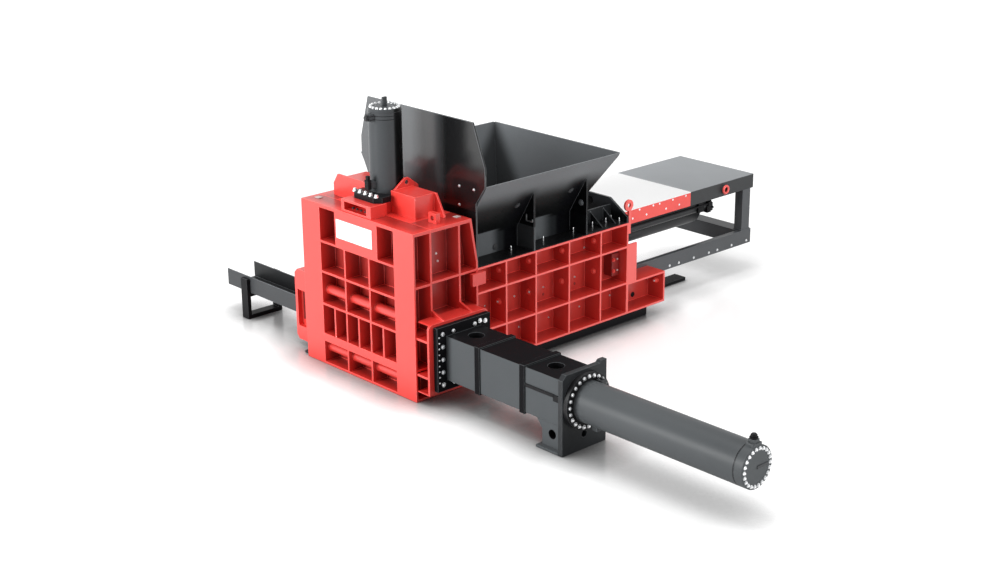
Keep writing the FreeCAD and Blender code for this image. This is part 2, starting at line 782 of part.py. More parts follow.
def cylinder_bulkhead():
    """Heavy cross wall under the carriage that holds the three main barrels."""
    wall = block(("bulkhead_front", "bulkhead_front + bulkhead_thick"),
                 ("-%s" % HALF_CHARGE, HALF_CHARGE), ("bale_floor", "bulkhead_top"))
    holes = [round_bar("x", ("bulkhead_front - crate_rib", place, height),
                       "bulkhead_thick + 2 * crate_rib", "%s + fit_gap" % radius)
             for place, height, radius in (("0", "main_axis_height", "main_rod_radius"),
                                           ("-aux_axis_place", "aux_axis_height", "aux_rod_radius"),
                                           ("aux_axis_place", "aux_axis_height", "aux_rod_radius"))]
    return cut(wall, *holes)


node("cylinder_bulkhead", cylinder_bulkhead())

BULKHEAD_BACK = "bulkhead_front + bulkhead_thick"
MAIN_CYLINDERS = (("centre", "0", "main_axis_height", "main_barrel_radius", "main_rod_radius",
                   "main_barrel_end"),
                  ("near", "-aux_axis_place", "aux_axis_height", "aux_barrel_radius",
                   "aux_rod_radius", "aux_barrel_end"),
                  ("far", "aux_axis_place", "aux_axis_height", "aux_barrel_radius",
                   "aux_rod_radius", "aux_barrel_end"))
for name, place, height, radius, rod_radius, barrel_end in MAIN_CYLINDERS:
    tube = barrel("x", (BULKHEAD_BACK, place, height), "(%s - (%s))" % (barrel_end, BULKHEAD_BACK),
                  radius)
    node("main_barrel_" + name, tube)
    node("main_rod_" + name, ram_rod("x", ("main_rest + face_thick", place, height),
                                     "%s - main_rest - face_thick - piston_length / 2" % barrel_end,
                                     rod_radius, radius))


# ---------------------------------------------------------------- main ram carriage
def main_ram_face():
    """Pressing block at the front of the carriage."""
    return block(("main_rest", "main_rest + face_thick"), ("-%s" % RAM_HALF, RAM_HALF),
                 ("bale_floor + seat_gap", "ram_top - wear_plate"))


node("main_ram_face", main_ram_face())


def main_ram_shell():
    """Inverted channel behind the face: its top plate and two skirts close the box."""
    channel = block(("main_rest + face_thick", "wear_end"), ("-%s" % RAM_HALF, RAM_HALF),
                    ("skirt_bottom", "ram_top - wear_plate"))
    hollow = block(("main_rest + face_thick - shell_plate", "wear_end + shell_plate"),
                   ("-%s + shell_plate" % RAM_HALF, "%s - shell_plate" % RAM_HALF),
                   ("skirt_bottom - shell_plate", "ram_top - wear_plate - shell_plate"))
    return cut(channel, hollow)


node("main_ram_shell", main_ram_shell())
node("main_ram_wear_top", block(("main_rest", "wear_end"), ("-%s" % RAM_HALF, RAM_HALF),
                                ("ram_top - wear_plate", "ram_top")))


def apron():
    """Sheet table behind the carriage, closed at its sides and rear end."""
    tray = block(("wear_end", "apron_end"), ("-%s" % RAM_HALF, RAM_HALF), ("skirt_bottom", "ram_top"))
    hollow = block(("wear_end - shell_plate", "apron_end - shell_plate"),
                   ("-%s + shell_plate" % RAM_HALF, "%s - shell_plate" % RAM_HALF),
                   ("skirt_bottom - shell_plate", "ram_top - shell_plate"))
    lug_place = "wear_end + lug_offset"
    lug_height = "(skirt_bottom + ram_top) / 2"
    lug = round_bar("-y", (lug_place, "-%s" % RAM_HALF, lug_height), "eye_thick", "eye_radius")
    eye = round_bar("-y", (lug_place, "-%s + 2 * shell_plate" % RAM_HALF, lug_height),
                    "3 * shell_plate + eye_thick", "eye_hole")
    return cut(fused(cut(tray, hollow), lug), eye)


node("carriage_apron", apron())


def carriage_leg():
    """Near leg of the carriage: box post on a slide shoe that runs on its rail."""
    sides = ("-%s" % RAM_HALF, "-%s + leg_width" % RAM_HALF)
    foot = "rail_top + seat_gap"
    post = block(("leg_front", "leg_front + leg_length"), sides, (foot, "skirt_bottom"))
    shoe = block(("leg_front - leg_wall", "leg_front + leg_length + leg_wall"), sides,
                 (foot, "%s + shoe_thick" % foot))
    return fused(post, shoe)


near_leg = carriage_leg()
node("carriage_near_leg", near_leg)
node("carriage_far_leg", mirrored(near_leg))


# ---------------------------------------------------------------- top ram
node("top_ram_platen", block(("-%s + run_gap" % HALF_BALE, "%s - run_gap" % HALF_BALE),
                             ("-%s" % RAM_HALF, RAM_HALF),
                             (HEAD_ROOM, PLATEN_TOP)))
node("top_ram_rod", ram_rod("z", ("0", "0", PLATEN_TOP),
                            "%s - %s - piston_length / 2" % (TOP_BARREL_END, PLATEN_TOP),
                            "top_rod_radius", "top_barrel_radius"))


def top_cylinder_seat():
    """Box seat on the deck with an open window towards the front."""
    front = block(("-top_seat_front", "-top_seat_step"), ("-top_seat_half", "top_seat_half"),
                  ("head_height", SEAT_TOP))
    neck = block(("-top_seat_step", "top_seat_back"), ("-top_seat_neck", "top_seat_neck"),
                 ("head_height", SEAT_TOP))
    window = block(("-top_seat_front - crate_rib", "-top_seat_step - crate_rib"),
                   ("-top_seat_half + 3 * crate_rib", "top_seat_half - 2 * crate_rib"),
                   ("head_height + crate_rib", "%s - crate_rib" % SEAT_TOP))
    passage = round_bar("z", ("0", "0", "head_height - crate_rib"),
                        "top_seat_rise + 2 * crate_rib", "top_rod_radius + fit_gap")
    return cut(fused(front, neck), window, passage)


node("top_cylinder_seat", top_cylinder_seat())


def top_cylinder_barrel():
    """Top barrel on its flange, wide with clipped corners at the front, and two port blocks."""
    half = "top_flange_half"
    clip = "(top_flange_half - top_flange_clip)"
    shoulder = "top_flange_clip - top_flange_front"
    outline = (("-top_flange_front", "-%s" % clip), (shoulder, "-%s" % half),
               ("-top_flange_step", "-%s" % half), ("-top_flange_step", "-top_seat_neck"),
               (half, "-top_seat_neck"), (half, "top_seat_neck"),
               ("-top_flange_step", "top_seat_neck"), ("-top_flange_step", half), (shoulder, half),
               ("-top_flange_front", clip))
    flange = plate("XY_Plane", outline, SEAT_TOP, "top_flange_thick")
    length = "(top_barrel_rise - top_seat_rise)"
    bore = "(top_barrel_radius - barrel_wall)"
    profile = ((bore, "top_flange_thick"), ("top_barrel_radius", "top_flange_thick"),
               ("top_barrel_radius", length), (bore, length))
    tube = turned(profile, "z", ("0", "0", SEAT_TOP))
    passage = round_bar("z", ("0", "0", "%s - crate_rib" % SEAT_TOP), "top_flange_thick + 2 * crate_rib",
                        "top_rod_radius + fit_gap")
    ports = [block(("-top_barrel_radius - port_rise", "barrel_wall / 2 - top_barrel_radius"),
                   ("-port_size / 2", "port_size / 2"), (low, "%s + port_size" % low))
             for low in ("%s + 2 * barrel_wall" % TOP_FLANGE,
                         "(%s - port_inset - port_size)" % TOP_BARREL_END)]
    return fused(cut(flange, passage), tube, *ports)


node("top_cylinder_barrel", top_cylinder_barrel())


def top_cylinder_cap():
    """Cap of the top barrel with its lifting bar."""
    disc = round_bar("z", ("0", "0", TOP_BARREL_END), "top_cap_thick", "top_barrel_radius")
    bar = block(("-lifting_bar_half", "lifting_bar_half"),
                ("-lifting_bar_half / 2", "lifting_bar_half / 2"),
                (TOP_BARREL_END, "%s + top_cap_thick + lifting_bar_rise" % TOP_BARREL_END))
    return fused(disc, bar)


node("top_cylinder_cap", top_cylinder_cap())


def seat_bolts():
    """Bolts in two rows on the flange of the top cylinder."""
    heads = []
    for place, reach in (("seat_bolt_inset - top_flange_front", 2),
                         ("top_flange_half - seat_bolt_inset", 1)):
        for step in range(-reach, reach + 1):
            heads.append(hexagon("z", (place, "%d * seat_bolt_pitch" % step, TOP_FLANGE),
                                 "big_bolt_head", "big_bolt"))
    return heads


def deck_housing(brace_place, shoulder, reach, heel):
    """Near housing on the deck with its lifting plate and a brace that slopes to the deck."""
    outline = (("-housing_outer", "head_height"), ("-housing_inner", "head_height"),
               ("-housing_inner", HOUSING_TOP), ("-housing_outer", HOUSING_TOP))
    shell = plate("YZ_Plane", outline, "-housing_front", "housing_front + housing_back")
    lug = (("-housing_front", "head_height"), ("housing_back + 3 * crate_rib", "head_height"),
           ("housing_back + 3 * crate_rib", HOUSING_TOP), ("5 * crate_rib", HOUSING_LUG_TOP),
           ("3 * crate_rib", HOUSING_LUG_TOP), ("-housing_front", "%s - crate_rib" % HOUSING_TOP))
    lifting = plate("XZ_Plane", lug, "-housing_inner", "crate_rib")
    eye = round_bar("y", ("4 * crate_rib", "-housing_inner - 2 * crate_rib",
                          "%s - 2 * crate_rib" % HOUSING_LUG_TOP), "4 * crate_rib", "crate_rib")
    brace = (("-housing_outer", "head_height"), ("-housing_outer", HOUSING_TOP),
             ("-housing_outer - %s" % shoulder, HOUSING_TOP),
             ("-housing_outer - %s" % reach, "head_height + %s" % heel),
             ("-housing_outer - %s" % reach, "head_height"))
    strut = plate("YZ_Plane", brace, brace_place, "crate_rib")
    return cut(fused(shell, lifting, strut), eye)


node("deck_housing_near", deck_housing("housing_back - crate_rib", "near_brace_shoulder",
                                       "near_brace_reach", "near_brace_heel"))
node("deck_housing_far", mirrored(deck_housing("-housing_front", "far_brace_shoulder",
                                               "far_brace_reach", "far_brace_heel")))


# ---------------------------------------------------------------- side ram and its guide
PAD_FACE = "(head_width / 2 + pad_proud)"
GUIDE_START = "(%s + flange_thick)" % PAD_FACE
AXIS = "guide_axis_height"


def side_guide_box():
    """Guide box with its bolting flange, collar bands and access holes."""
    low = "(%s - guide_half_height)" % AXIS
    high = "(%s + guide_half_height)" % AXIS
    body = block(("-guide_half", "guide_half"), ("-guide_end", "-%s" % GUIDE_START), (low, high))
    collars = [block(("-guide_half - collar_proud", "guide_half + collar_proud"),
                     ("-%s - collar_width / 2" % place, "-%s + collar_width / 2" % place),
                     ("%s - collar_proud" % low, "%s + collar_proud" % high))
               for place in ("collar_a", "collar_b")]
    flange = block(("-flange_half", "flange_half"), ("-%s" % GUIDE_START, "-%s" % PAD_FACE),
                   ("%s - flange_half_height" % AXIS, "%s + flange_half_height" % AXIS))
    tools = [ram_passage("-guide_end + 2 * crate_rib", "-%s + crate_rib" % PAD_FACE)]
    tools.append(round_bar("-y", ("0", "-guide_end + 3 * crate_rib", AXIS), "5 * crate_rib",
                           "side_rod_radius + run_gap"))
    for place in ("hatch_a", "hatch_b"):
        tools.append(round_bar("z", ("0", "-%s" % place, "%s + crate_rib" % AXIS),
                               "guide_half_height + crate_rib", "hatch_radius"))
    return cut(fused(body, flange, *collars), *tools)


def side_guide_leg():
    """Leg under the end of the guide with a chamfered front, a cleaning hole and a foot."""
    low = "(%s - guide_half_height)" % AXIS
    outline = (("-guide_end", low), ("-guide_end", "foot_thick"), ("-leg_section", "foot_thick"),
               ("-leg_section", "%s - 4 * crate_rib" % low), ("-leg_section + 3 * crate_rib", low))
    leg = plate("YZ_Plane", outline, "-guide_half", "2 * guide_half")
    foot = block(("-end_plate_half", "end_plate_half"), ("-guide_end", "-leg_section + crate_rib"),
                 ("0", "foot_thick"))
    hole = round_bar("x", ("-guide_half - crate_rib", "-(leg_section + guide_end) / 2", "drain_height"),
                     "2 * guide_half + 2 * crate_rib", "leg_hole")
    return cut(fused(leg, foot), hole)


node("side_guide_box", side_guide_box())
node("side_guide_leg", side_guide_leg())


def side_end_plate():
    """Thick end plate that carries the side cylinder, with two lifting ears."""
    half = "end_plate_half"
    outline = (("-%s" % half, "0"), (half, "0"), (half, "end_plate_top + crate_rib"),
               ("%s - 3 * crate_rib" % half, "end_plate_top + crate_rib"),
               ("%s - 4 * crate_rib" % half, "end_plate_top"),
               ("-%s + 2 * crate_rib" % half, "end_plate_top"),
               ("-%s" % half, "end_plate_top - 2 * crate_rib"))
    slab = plate("XZ_Plane", outline, "-guide_end", "end_plate_thick")
    bore = round_bar("-y", ("0", "-guide_end + crate_rib", AXIS), "end_plate_thick + 2 * crate_rib",
                     "side_rod_radius + fit_gap")
    drain = round_bar("-y", ("0", "-guide_end + crate_rib", "drain_height"),
                      "end_plate_thick + 2 * crate_rib", "drain_radius")
    return cut(slab, bore, drain)


node("side_end_plate", side_end_plate())
SIDE_MOUNT = "(guide_end + end_plate_thick)"


def side_barrel():
    """Side barrel with its wide bolting ring."""
    bore = "(side_barrel_radius - barrel_wall)"
    end = "side_barrel_end - %s" % SIDE_MOUNT
    profile = ((bore, "0"), ("side_ring_radius", "0"), ("side_ring_radius", "side_ring_thick"),
               ("side_barrel_radius", "side_ring_thick"), ("side_barrel_radius", end), (bore, end))
    tube = turned(profile, "-y", ("0", "-%s" % SIDE_MOUNT, AXIS))
    front_end = "-(%s + side_port_place)" % SIDE_MOUNT
    port = block(("-port_size / 2", "port_size / 2"), ("%s - port_size" % front_end, front_end),
                 ("%s - side_barrel_radius - port_rise" % AXIS,
                  "%s - side_barrel_radius + barrel_wall / 2" % AXIS))
    return fused(tube, port)


def side_cap():
    """Cap of the side barrel with the port block on its top."""
    disc = round_bar("-y", ("0", "-side_barrel_end", AXIS), "side_cap_thick", "side_barrel_radius")
    port = block(("-port_size / 2", "port_size / 2"),
                 ("-side_barrel_end - port_inset - port_size", "-side_barrel_end - port_inset"),
                 ("%s + side_barrel_radius - barrel_wall" % AXIS,
                  "%s + side_barrel_radius + port_rise" % AXIS))
    return fused(disc, port)


node("side_cylinder_barrel", side_barrel())
node("side_cylinder_cap", side_cap())
RING_BOLTS = bolt_ring(24, ("0", "-%s - side_ring_thick" % SIDE_MOUNT, AXIS), "side_bolt_circle")


def flange_bolts():
    """Bolts around the guide flange in two columns and two rows."""
    heads = []
    reach = "(flange_half - flange_bolt_inset)"
    rise = "(flange_half_height - flange_bolt_inset)"
    for hand in ("-1", "1"):
        for step in (-2, -1, 0, 1, 2):
            place = ("%s * %s" % (hand, reach), "-%s" % GUIDE_START,
                     "%s + %d * %s / 2" % (AXIS, step, rise))
            heads.append(hexagon("-y", place, "big_bolt_head", "big_bolt"))
        for step in (-1, 0, 1):
            place = ("%d * %s / 2" % (step, reach), "-%s" % GUIDE_START,
                     "%s + %s * %s" % (AXIS, hand, rise))
            heads.append(hexagon("-y", place, "big_bolt_head", "big_bolt"))
    return heads


node("flange_bolts", group(flange_bolts() + RING_BOLTS + seat_bolts()))

SIDE_REAR = "(side_rest + side_ram_length)"
node("side_ram_block", block(("-%s + run_gap" % HALF_BALE, "%s - run_gap" % HALF_BALE),
                             ("-%s" % SIDE_REAR, "-side_rest"),
                             ("bale_floor + seat_gap", "%s - run_gap" % BALE_TOP)))
node("side_ram_rod", ram_rod("-y", ("0", "-%s" % SIDE_REAR, AXIS),
                             "side_barrel_end - %s - piston_length / 2" % SIDE_REAR,
                             "side_rod_radius", "side_barrel_radius"))

# ---------------------------------------------------------------- gate and chute
FRAME_END = "(head_width / 2 + gate_frame_depth)"
GATE_LOW = "(bale_floor - gate_margin)"
GATE_HIGH = "(%s + gate_margin)" % BALE_TOP
GATE_MIDDLE = "(gate_place + gate_thick / 2)"
GATE_AXIS = "(bale_floor + bale_height / 2)"
GATE_MOUNT = "(gate_rest_front + bale_width + gate_overrun)"


def gate_bracket():
    """Two arms and a plate beside the gate frame that hold the gate cylinder."""
    margin = "gate_bracket_margin"
    across = ("gate_place", "gate_place + gate_thick")
    face = block((GATE_MOUNT, "%s + crate_rib" % GATE_MOUNT), across,
                 ("%s - %s" % (GATE_LOW, margin), "%s + %s" % (GATE_HIGH, margin)))
    low = block(("gate_frame_half", GATE_MOUNT), across,
                ("%s - %s" % (GATE_LOW, margin), "%s - seat_gap" % GATE_LOW))
    high = block(("gate_frame_half", GATE_MOUNT), across,
                 ("%s + seat_gap" % GATE_HIGH, "%s + %s" % (GATE_HIGH, margin)))
    hole = round_bar("x", ("%s - crate_rib" % GATE_MOUNT, GATE_MIDDLE, GATE_AXIS), "3 * crate_rib",
                     "gate_rod_radius + fit_gap")
    return cut(fused(face, low, high), hole)


def gate_frame():
    """Frame on the far side: side plates with gate slots round the bale passage."""
    outline = ((HALF_HEAD, "gate_frame_bottom"), ("%s - gate_corner" % FRAME_END, "gate_frame_bottom"),
               (FRAME_END, "gate_frame_bottom + gate_corner"),
               (FRAME_END, "gate_frame_top - gate_corner"),
               ("%s - gate_corner" % FRAME_END, "gate_frame_top"), (HALF_HEAD, "gate_frame_top"))
    body = plate("YZ_Plane", outline, "-gate_frame_half", "2 * gate_frame_half")
    passage = ram_passage("%s - crate_rib" % HALF_HEAD, "%s + crate_rib" % FRAME_END)
    across = ("gate_place - seat_gap", "gate_place + gate_thick + seat_gap")
    slot = block(("gate_lip - gate_frame_half", "gate_frame_half + crate_rib"), across,
                 ("%s - seat_gap" % GATE_LOW, "%s + seat_gap" % GATE_HIGH))
    access = block(("-gate_frame_half - crate_rib", "2 * gate_lip - gate_frame_half"),
                   ("gate_place - gate_access_margin", "gate_place + gate_thick + gate_access_margin"),
                   ("gate_access_low", "gate_access_high"))
    return cut(body, passage, slot, access)


node("gate_frame", gate_frame())
node("gate_bracket", gate_bracket())
node("gate_plate", block(("-gate_rest_front", "gate_rest_front"),
                         ("gate_place", "gate_place + gate_thick"), (GATE_LOW, GATE_HIGH)))
node("gate_cylinder_barrel", barrel("x", ("%s + crate_rib" % GATE_MOUNT, GATE_MIDDLE, GATE_AXIS),
                                    "(gate_barrel_end - %s)" % GATE_MOUNT, "gate_barrel_radius"))
node("gate_rod", ram_rod("x", ("gate_rest_front", GATE_MIDDLE, GATE_AXIS),
                         "%s - gate_rest_front + gate_rod_reach" % GATE_MOUNT,
                         "gate_rod_radius", "gate_barrel_radius"))


def chute():
    """Open channel that carries the bales away from the gate."""
    outer = "(%s + chute_sheet)" % HALF_BALE
    channel = block(("-%s" % outer, outer), (FRAME_END, "chute_end"),
                    ("bale_floor - chute_sheet", "chute_wall_top"))
    hollow = block(("-%s" % HALF_BALE, HALF_BALE), ("%s - crate_rib" % FRAME_END, "chute_end + crate_rib"),
                   ("bale_floor", "chute_wall_top + crate_rib"))
    return cut(channel, hollow)


node("bale_chute", chute())


def chute_legs():
    """U-shaped stand under the chute: two posts joined by a sill at the floor."""
    outer = "(%s + chute_sheet)" % HALF_BALE
    along = ("chute_leg_place", "chute_leg_place + chute_leg_width")
    posts = [block(sides, along, ("0", "chute_wall_top - crate_rib"))
             for sides in (("-%s - chute_leg_thick" % outer, "-%s" % outer),
                           (outer, "%s + chute_leg_thick" % outer))]
    sill = block(("-%s" % outer, outer), along, ("0", "2 * crate_rib"))
    beam = block(("-%s" % outer, outer), along,
                 ("bale_floor - chute_sheet - 2 * crate_rib", "bale_floor - chute_sheet"))
    return fused(posts[0], posts[1], sill, beam)


node("chute_stand", chute_legs())

doc.recompute()

failed = [thing.Label for thing in doc.Objects if "Invalid" in thing.State or "Error" in thing.State]
if failed:
    raise RuntimeError("objects that failed: " + ", ".join(failed))
for part in nodes:
    if part.Shape.isNull() or not part.Shape.isValid() or not part.Shape.Solids:
        raise RuntimeError("no sound solid: " + part.Label)

os.makedirs("parts", exist_ok=True)
for part in nodes:
    part.Shape.exportStep("parts/%s.step" % part.Label)
print(len(nodes), "sub-parts written")
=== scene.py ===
import bmesh
import bpy
from math import cos, radians, sin, tau
from mathutils import Matrix, Vector


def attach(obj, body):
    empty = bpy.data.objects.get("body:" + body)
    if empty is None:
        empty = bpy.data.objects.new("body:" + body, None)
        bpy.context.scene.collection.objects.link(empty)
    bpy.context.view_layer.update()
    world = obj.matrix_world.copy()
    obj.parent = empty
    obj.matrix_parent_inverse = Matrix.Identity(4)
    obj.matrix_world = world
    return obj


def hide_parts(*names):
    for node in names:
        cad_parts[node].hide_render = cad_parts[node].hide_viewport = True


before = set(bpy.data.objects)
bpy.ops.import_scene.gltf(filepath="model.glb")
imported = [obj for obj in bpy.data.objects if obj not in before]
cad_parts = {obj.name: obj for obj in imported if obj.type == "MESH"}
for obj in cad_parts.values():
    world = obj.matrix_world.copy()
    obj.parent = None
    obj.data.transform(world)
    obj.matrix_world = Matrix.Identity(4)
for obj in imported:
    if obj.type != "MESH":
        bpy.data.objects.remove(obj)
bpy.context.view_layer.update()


# ---------------------------------------------------------------- camera
# The photograph is taken from in front of the head, high on the side ram's side, with a
# moderately long lens. Its place is in metres in the machine's own frame.
camera_data = bpy.data.cameras.new("camera")
camera_data.sensor_width = 36.0
camera_data.lens = 61.3
camera_data.clip_end = 300.0
camera = bpy.data.objects.new("camera", camera_data)
CAMERA_PLACE = (-17.846, -22.111, 11.398)
CAMERA_TILT, CAMERA_TURN, CAMERA_ROLL = radians(70.965), radians(-42.823), radians(-0.483)
camera.matrix_world = (Matrix.Translation(CAMERA_PLACE)
                       @ Matrix.Rotation(CAMERA_TURN, 4, "Z") @ Matrix.Rotation(CAMERA_TILT, 4, "X")
                       @ Matrix.Rotation(CAMERA_ROLL, 4, "Z"))
bpy.context.scene.collection.objects.link(camera)
bpy.context.scene.camera = camera
bpy.context.scene.view_settings.view_transform = "Standard"


# ---------------------------------------------------------------- studio
# White sweep and soft light: a broad lamp on the left picks out the front of the head, a
# weaker one from above lights the decks, and the world fills the shadows.
class Reading:
    """One output of a material's node, which takes part in sums like a number."""

    def __init__(self, coat, socket):
        self.coat, self.socket = coat, socket

    def reckon(self, operation, other, turned_round=False):
        pair = (other, self) if turned_round else (self, other)
        return self.coat.add("ShaderNodeMath", 0, {"operation": operation}, {0: pair[0], 1: pair[1]})

    def __add__(self, other): return self.reckon("ADD", other)
    def __radd__(self, other): return self.reckon("ADD", other, True)
    def __sub__(self, other): return self.reckon("SUBTRACT", other)
    def __rsub__(self, other): return self.reckon("SUBTRACT", other, True)
    def __mul__(self, other): return self.reckon("MULTIPLY", other)
    def __rmul__(self, other): return self.reckon("MULTIPLY", other, True)
    def __truediv__(self, other): return self.reckon("DIVIDE", other)
    def __rtruediv__(self, other): return self.reckon("DIVIDE", other, True)
    def __gt__(self, other): return self.reckon("GREATER_THAN", other)
    def __lt__(self, other): return self.reckon("LESS_THAN", other)


class Coat:
    """A finish made of nodes: add() puts in any node and gives one of its outputs back."""

    def __init__(self, name):
        self.material = bpy.data.materials.new(name)
        self.material.use_nodes = True
        self.tree = self.material.node_tree
        self.shader = self.tree.nodes["Principled BSDF"]
        self.place = self.add("ShaderNodeTexCoord", "Object")

    def add(self, kind, output=0, settings=None, values=None):
        node = self.tree.nodes.new(kind)
        settings = dict(settings or {})
        stops = settings.pop("stops", ())
        for name, value in settings.items():
            setattr(node, name, value)
        for index, (position, shade) in enumerate(stops):
            ramp = node.color_ramp.elements
            stop = ramp[index] if index < len(ramp) else ramp.new(position)
            stop.position = position
            stop.color = (shade, shade, shade, 1.0) if isinstance(shade, float) else (*shade, 1.0)
        for name, value in (values or {}).items():
            self.set(node.inputs[name], value)
        return Reading(self, node.outputs[output])

    def set(self, socket, value):
        if isinstance(value, Reading):
            self.tree.links.new(value.socket, socket)
        elif isinstance(value, tuple) and len(value) == 3 and socket.type == "RGBA":
            socket.default_value = (*value, 1.0)
        else:
            socket.default_value = value

    def finish(self, **values):
        for name, value in values.items():
            self.set(self.shader.inputs[name.replace("_", " ")], value)
        return self.material

    def noise(self, scale, detail=3.0, roughness=0.5, vector=None):
        return self.add("ShaderNodeTexNoise", "Fac", {},
                        {"Vector": vector or self.place, "Scale": scale, "Detail": detail,
                         "Roughness": roughness})

    def along(self, axis):
        return self.add("ShaderNodeSeparateXYZ", axis, {}, {0: self.place})

    def size(self, value):
        return self.add("ShaderNodeMath", 0, {"operation": "ABSOLUTE"}, {0: value})

    def ramp(self, value, *stops):
        return self.add("ShaderNodeValToRGB", "Color", {"stops": stops}, {"Fac": value})

    def blend(self, amount, first, second):
        return self.add("ShaderNodeMix", 2, {"data_type": "RGBA"}, {0: amount, 6: first, 7: second})

    def bump(self, height, strength, distance):
        return self.add("ShaderNodeBump", "Normal", {},
                        {"Height": height, "Strength": strength, "Distance": distance})

    def eased(self, value, start=0.0, end=1.0):
        return self.add("ShaderNodeMapRange", 0, {"interpolation_type": "SMOOTHSTEP"},
                        {0: value, 1: start, 2: end})


# The floor lies just under the skids. It keeps the machine's shadow, and painted shade, an
# ambient occlusion mask in its colour and glow, darkens it further where the two are close. It
# glows into the white backdrop with the distance from its middle.
FLOOR_HALF = 60.0
FLOOR_LEVEL = -0.004
SHADOW_REACH = 16.0
CONTACT_REACH = 0.9
PAINTED_CONTACT_SHADE, FLOOR_PALE = (0.02, 0.02, 0.02), (0.84, 0.84, 0.84)
GLOW_START, GLOW_NEAR, GLOW_SOFTNESS = 0.5, 0.4, 0.3
floor_mesh = bpy.data.meshes.new("floor")
floor_mesh.from_pydata([(across * FLOOR_HALF, along * FLOOR_HALF, FLOOR_LEVEL)
                        for across, along in ((-1, -1), (1, -1), (1, 1), (-1, 1))], [], [(0, 1, 2, 3)])
floor = bpy.data.objects.new("floor", floor_mesh)
bpy.context.scene.collection.objects.link(floor)
sweep = Coat("studio_floor")
seen = sum((sweep.add("ShaderNodeLightPath", kind)
            for kind in ("Is Glossy Ray", "Is Transmission Ray")),
           sweep.add("ShaderNodeLightPath", "Is Camera Ray"))
away = sweep.add("ShaderNodeVectorMath", "Value", {"operation": "LENGTH"}, {0: sweep.place})
glow = sweep.add("ShaderNodeMath", 0, {"operation": "SMOOTH_MAX"},
                 {0: away / SHADOW_REACH - GLOW_START, 1: GLOW_NEAR, 2: GLOW_SOFTNESS})
# Painted shade: ambient occlusion darkens the floor's colour and glow where the machine is close.
close = sweep.add("ShaderNodeAmbientOcclusion", "AO", {"samples": 8}, {"Distance": CONTACT_REACH})
close = close * close
sweep.finish(Base_Color=sweep.blend(close, PAINTED_CONTACT_SHADE, FLOOR_PALE), Roughness=0.2,
             Emission_Color=sweep.blend(close, (0.0, 0.0, 0.0), (1.0, 1.0, 1.0)))
sweep.set(sweep.shader.inputs["Specular IOR Level"], 1.0)
sweep.set(sweep.shader.inputs["Emission Strength"], seen * glow)
floor_mesh.materials.append(sweep.material)

# The sky is plain white. Seen directly, in a reflection or through glass it is at full level;
# its light on the machine is weaker.
WORLD_LEVEL = 0.30
world = bpy.data.worlds.new("studio")
world.use_nodes = True
bpy.context.scene.world = world
backdrop = world.node_tree.nodes["Background"]
backdrop.inputs["Color"].default_value = (1.0, 1.0, 1.0, 1.0)
ray = world.node_tree.nodes.new("ShaderNodeLightPath")
direct = ray.outputs["Is Camera Ray"]
for kind in ("Is Glossy Ray", "Is Transmission Ray"):
    both = world.node_tree.nodes.new("ShaderNodeMath")
    both.operation = "MAXIMUM"
    world.node_tree.links.new(direct, both.inputs[0])
    world.node_tree.links.new(ray.outputs[kind], both.inputs[1])
    direct = both.outputs[0]
level = world.node_tree.nodes.new("ShaderNodeMix")
level.inputs[2].default_value, level.inputs[3].default_value = WORLD_LEVEL, 1.0
world.node_tree.links.new(direct, level.inputs[0])
world.node_tree.links.new(level.outputs[0], backdrop.inputs["Strength"])


def lamp(name, aim, place, size, strength):
    """Square soft lamp at a place, turned to shine on an aim."""
    light = bpy.data.lights.new(name, "AREA")
    light.shape, light.size, light.energy = "SQUARE", size, strength
    holder = bpy.data.objects.new(name, light)
    holder.location = place
    holder.rotation_euler = (Vector(aim) - Vector(place)).to_track_quat("-Z", "Y").to_euler()
    bpy.context.scene.collection.objects.link(holder)


MACHINE_MIDDLE = (3.0, -1.5, 1.2)
lamp("front_lamp", MACHINE_MIDDLE, (-24.0, 8.0, 9.0), 12.0, 8200.0)
lamp("side_lamp", MACHINE_MIDDLE, (6.0, -26.0, 8.0), 12.0, 2600.0)
lamp("top_lamp", MACHINE_MIDDLE, (0.0, -2.0, 22.0), 10.0, 2600.0)


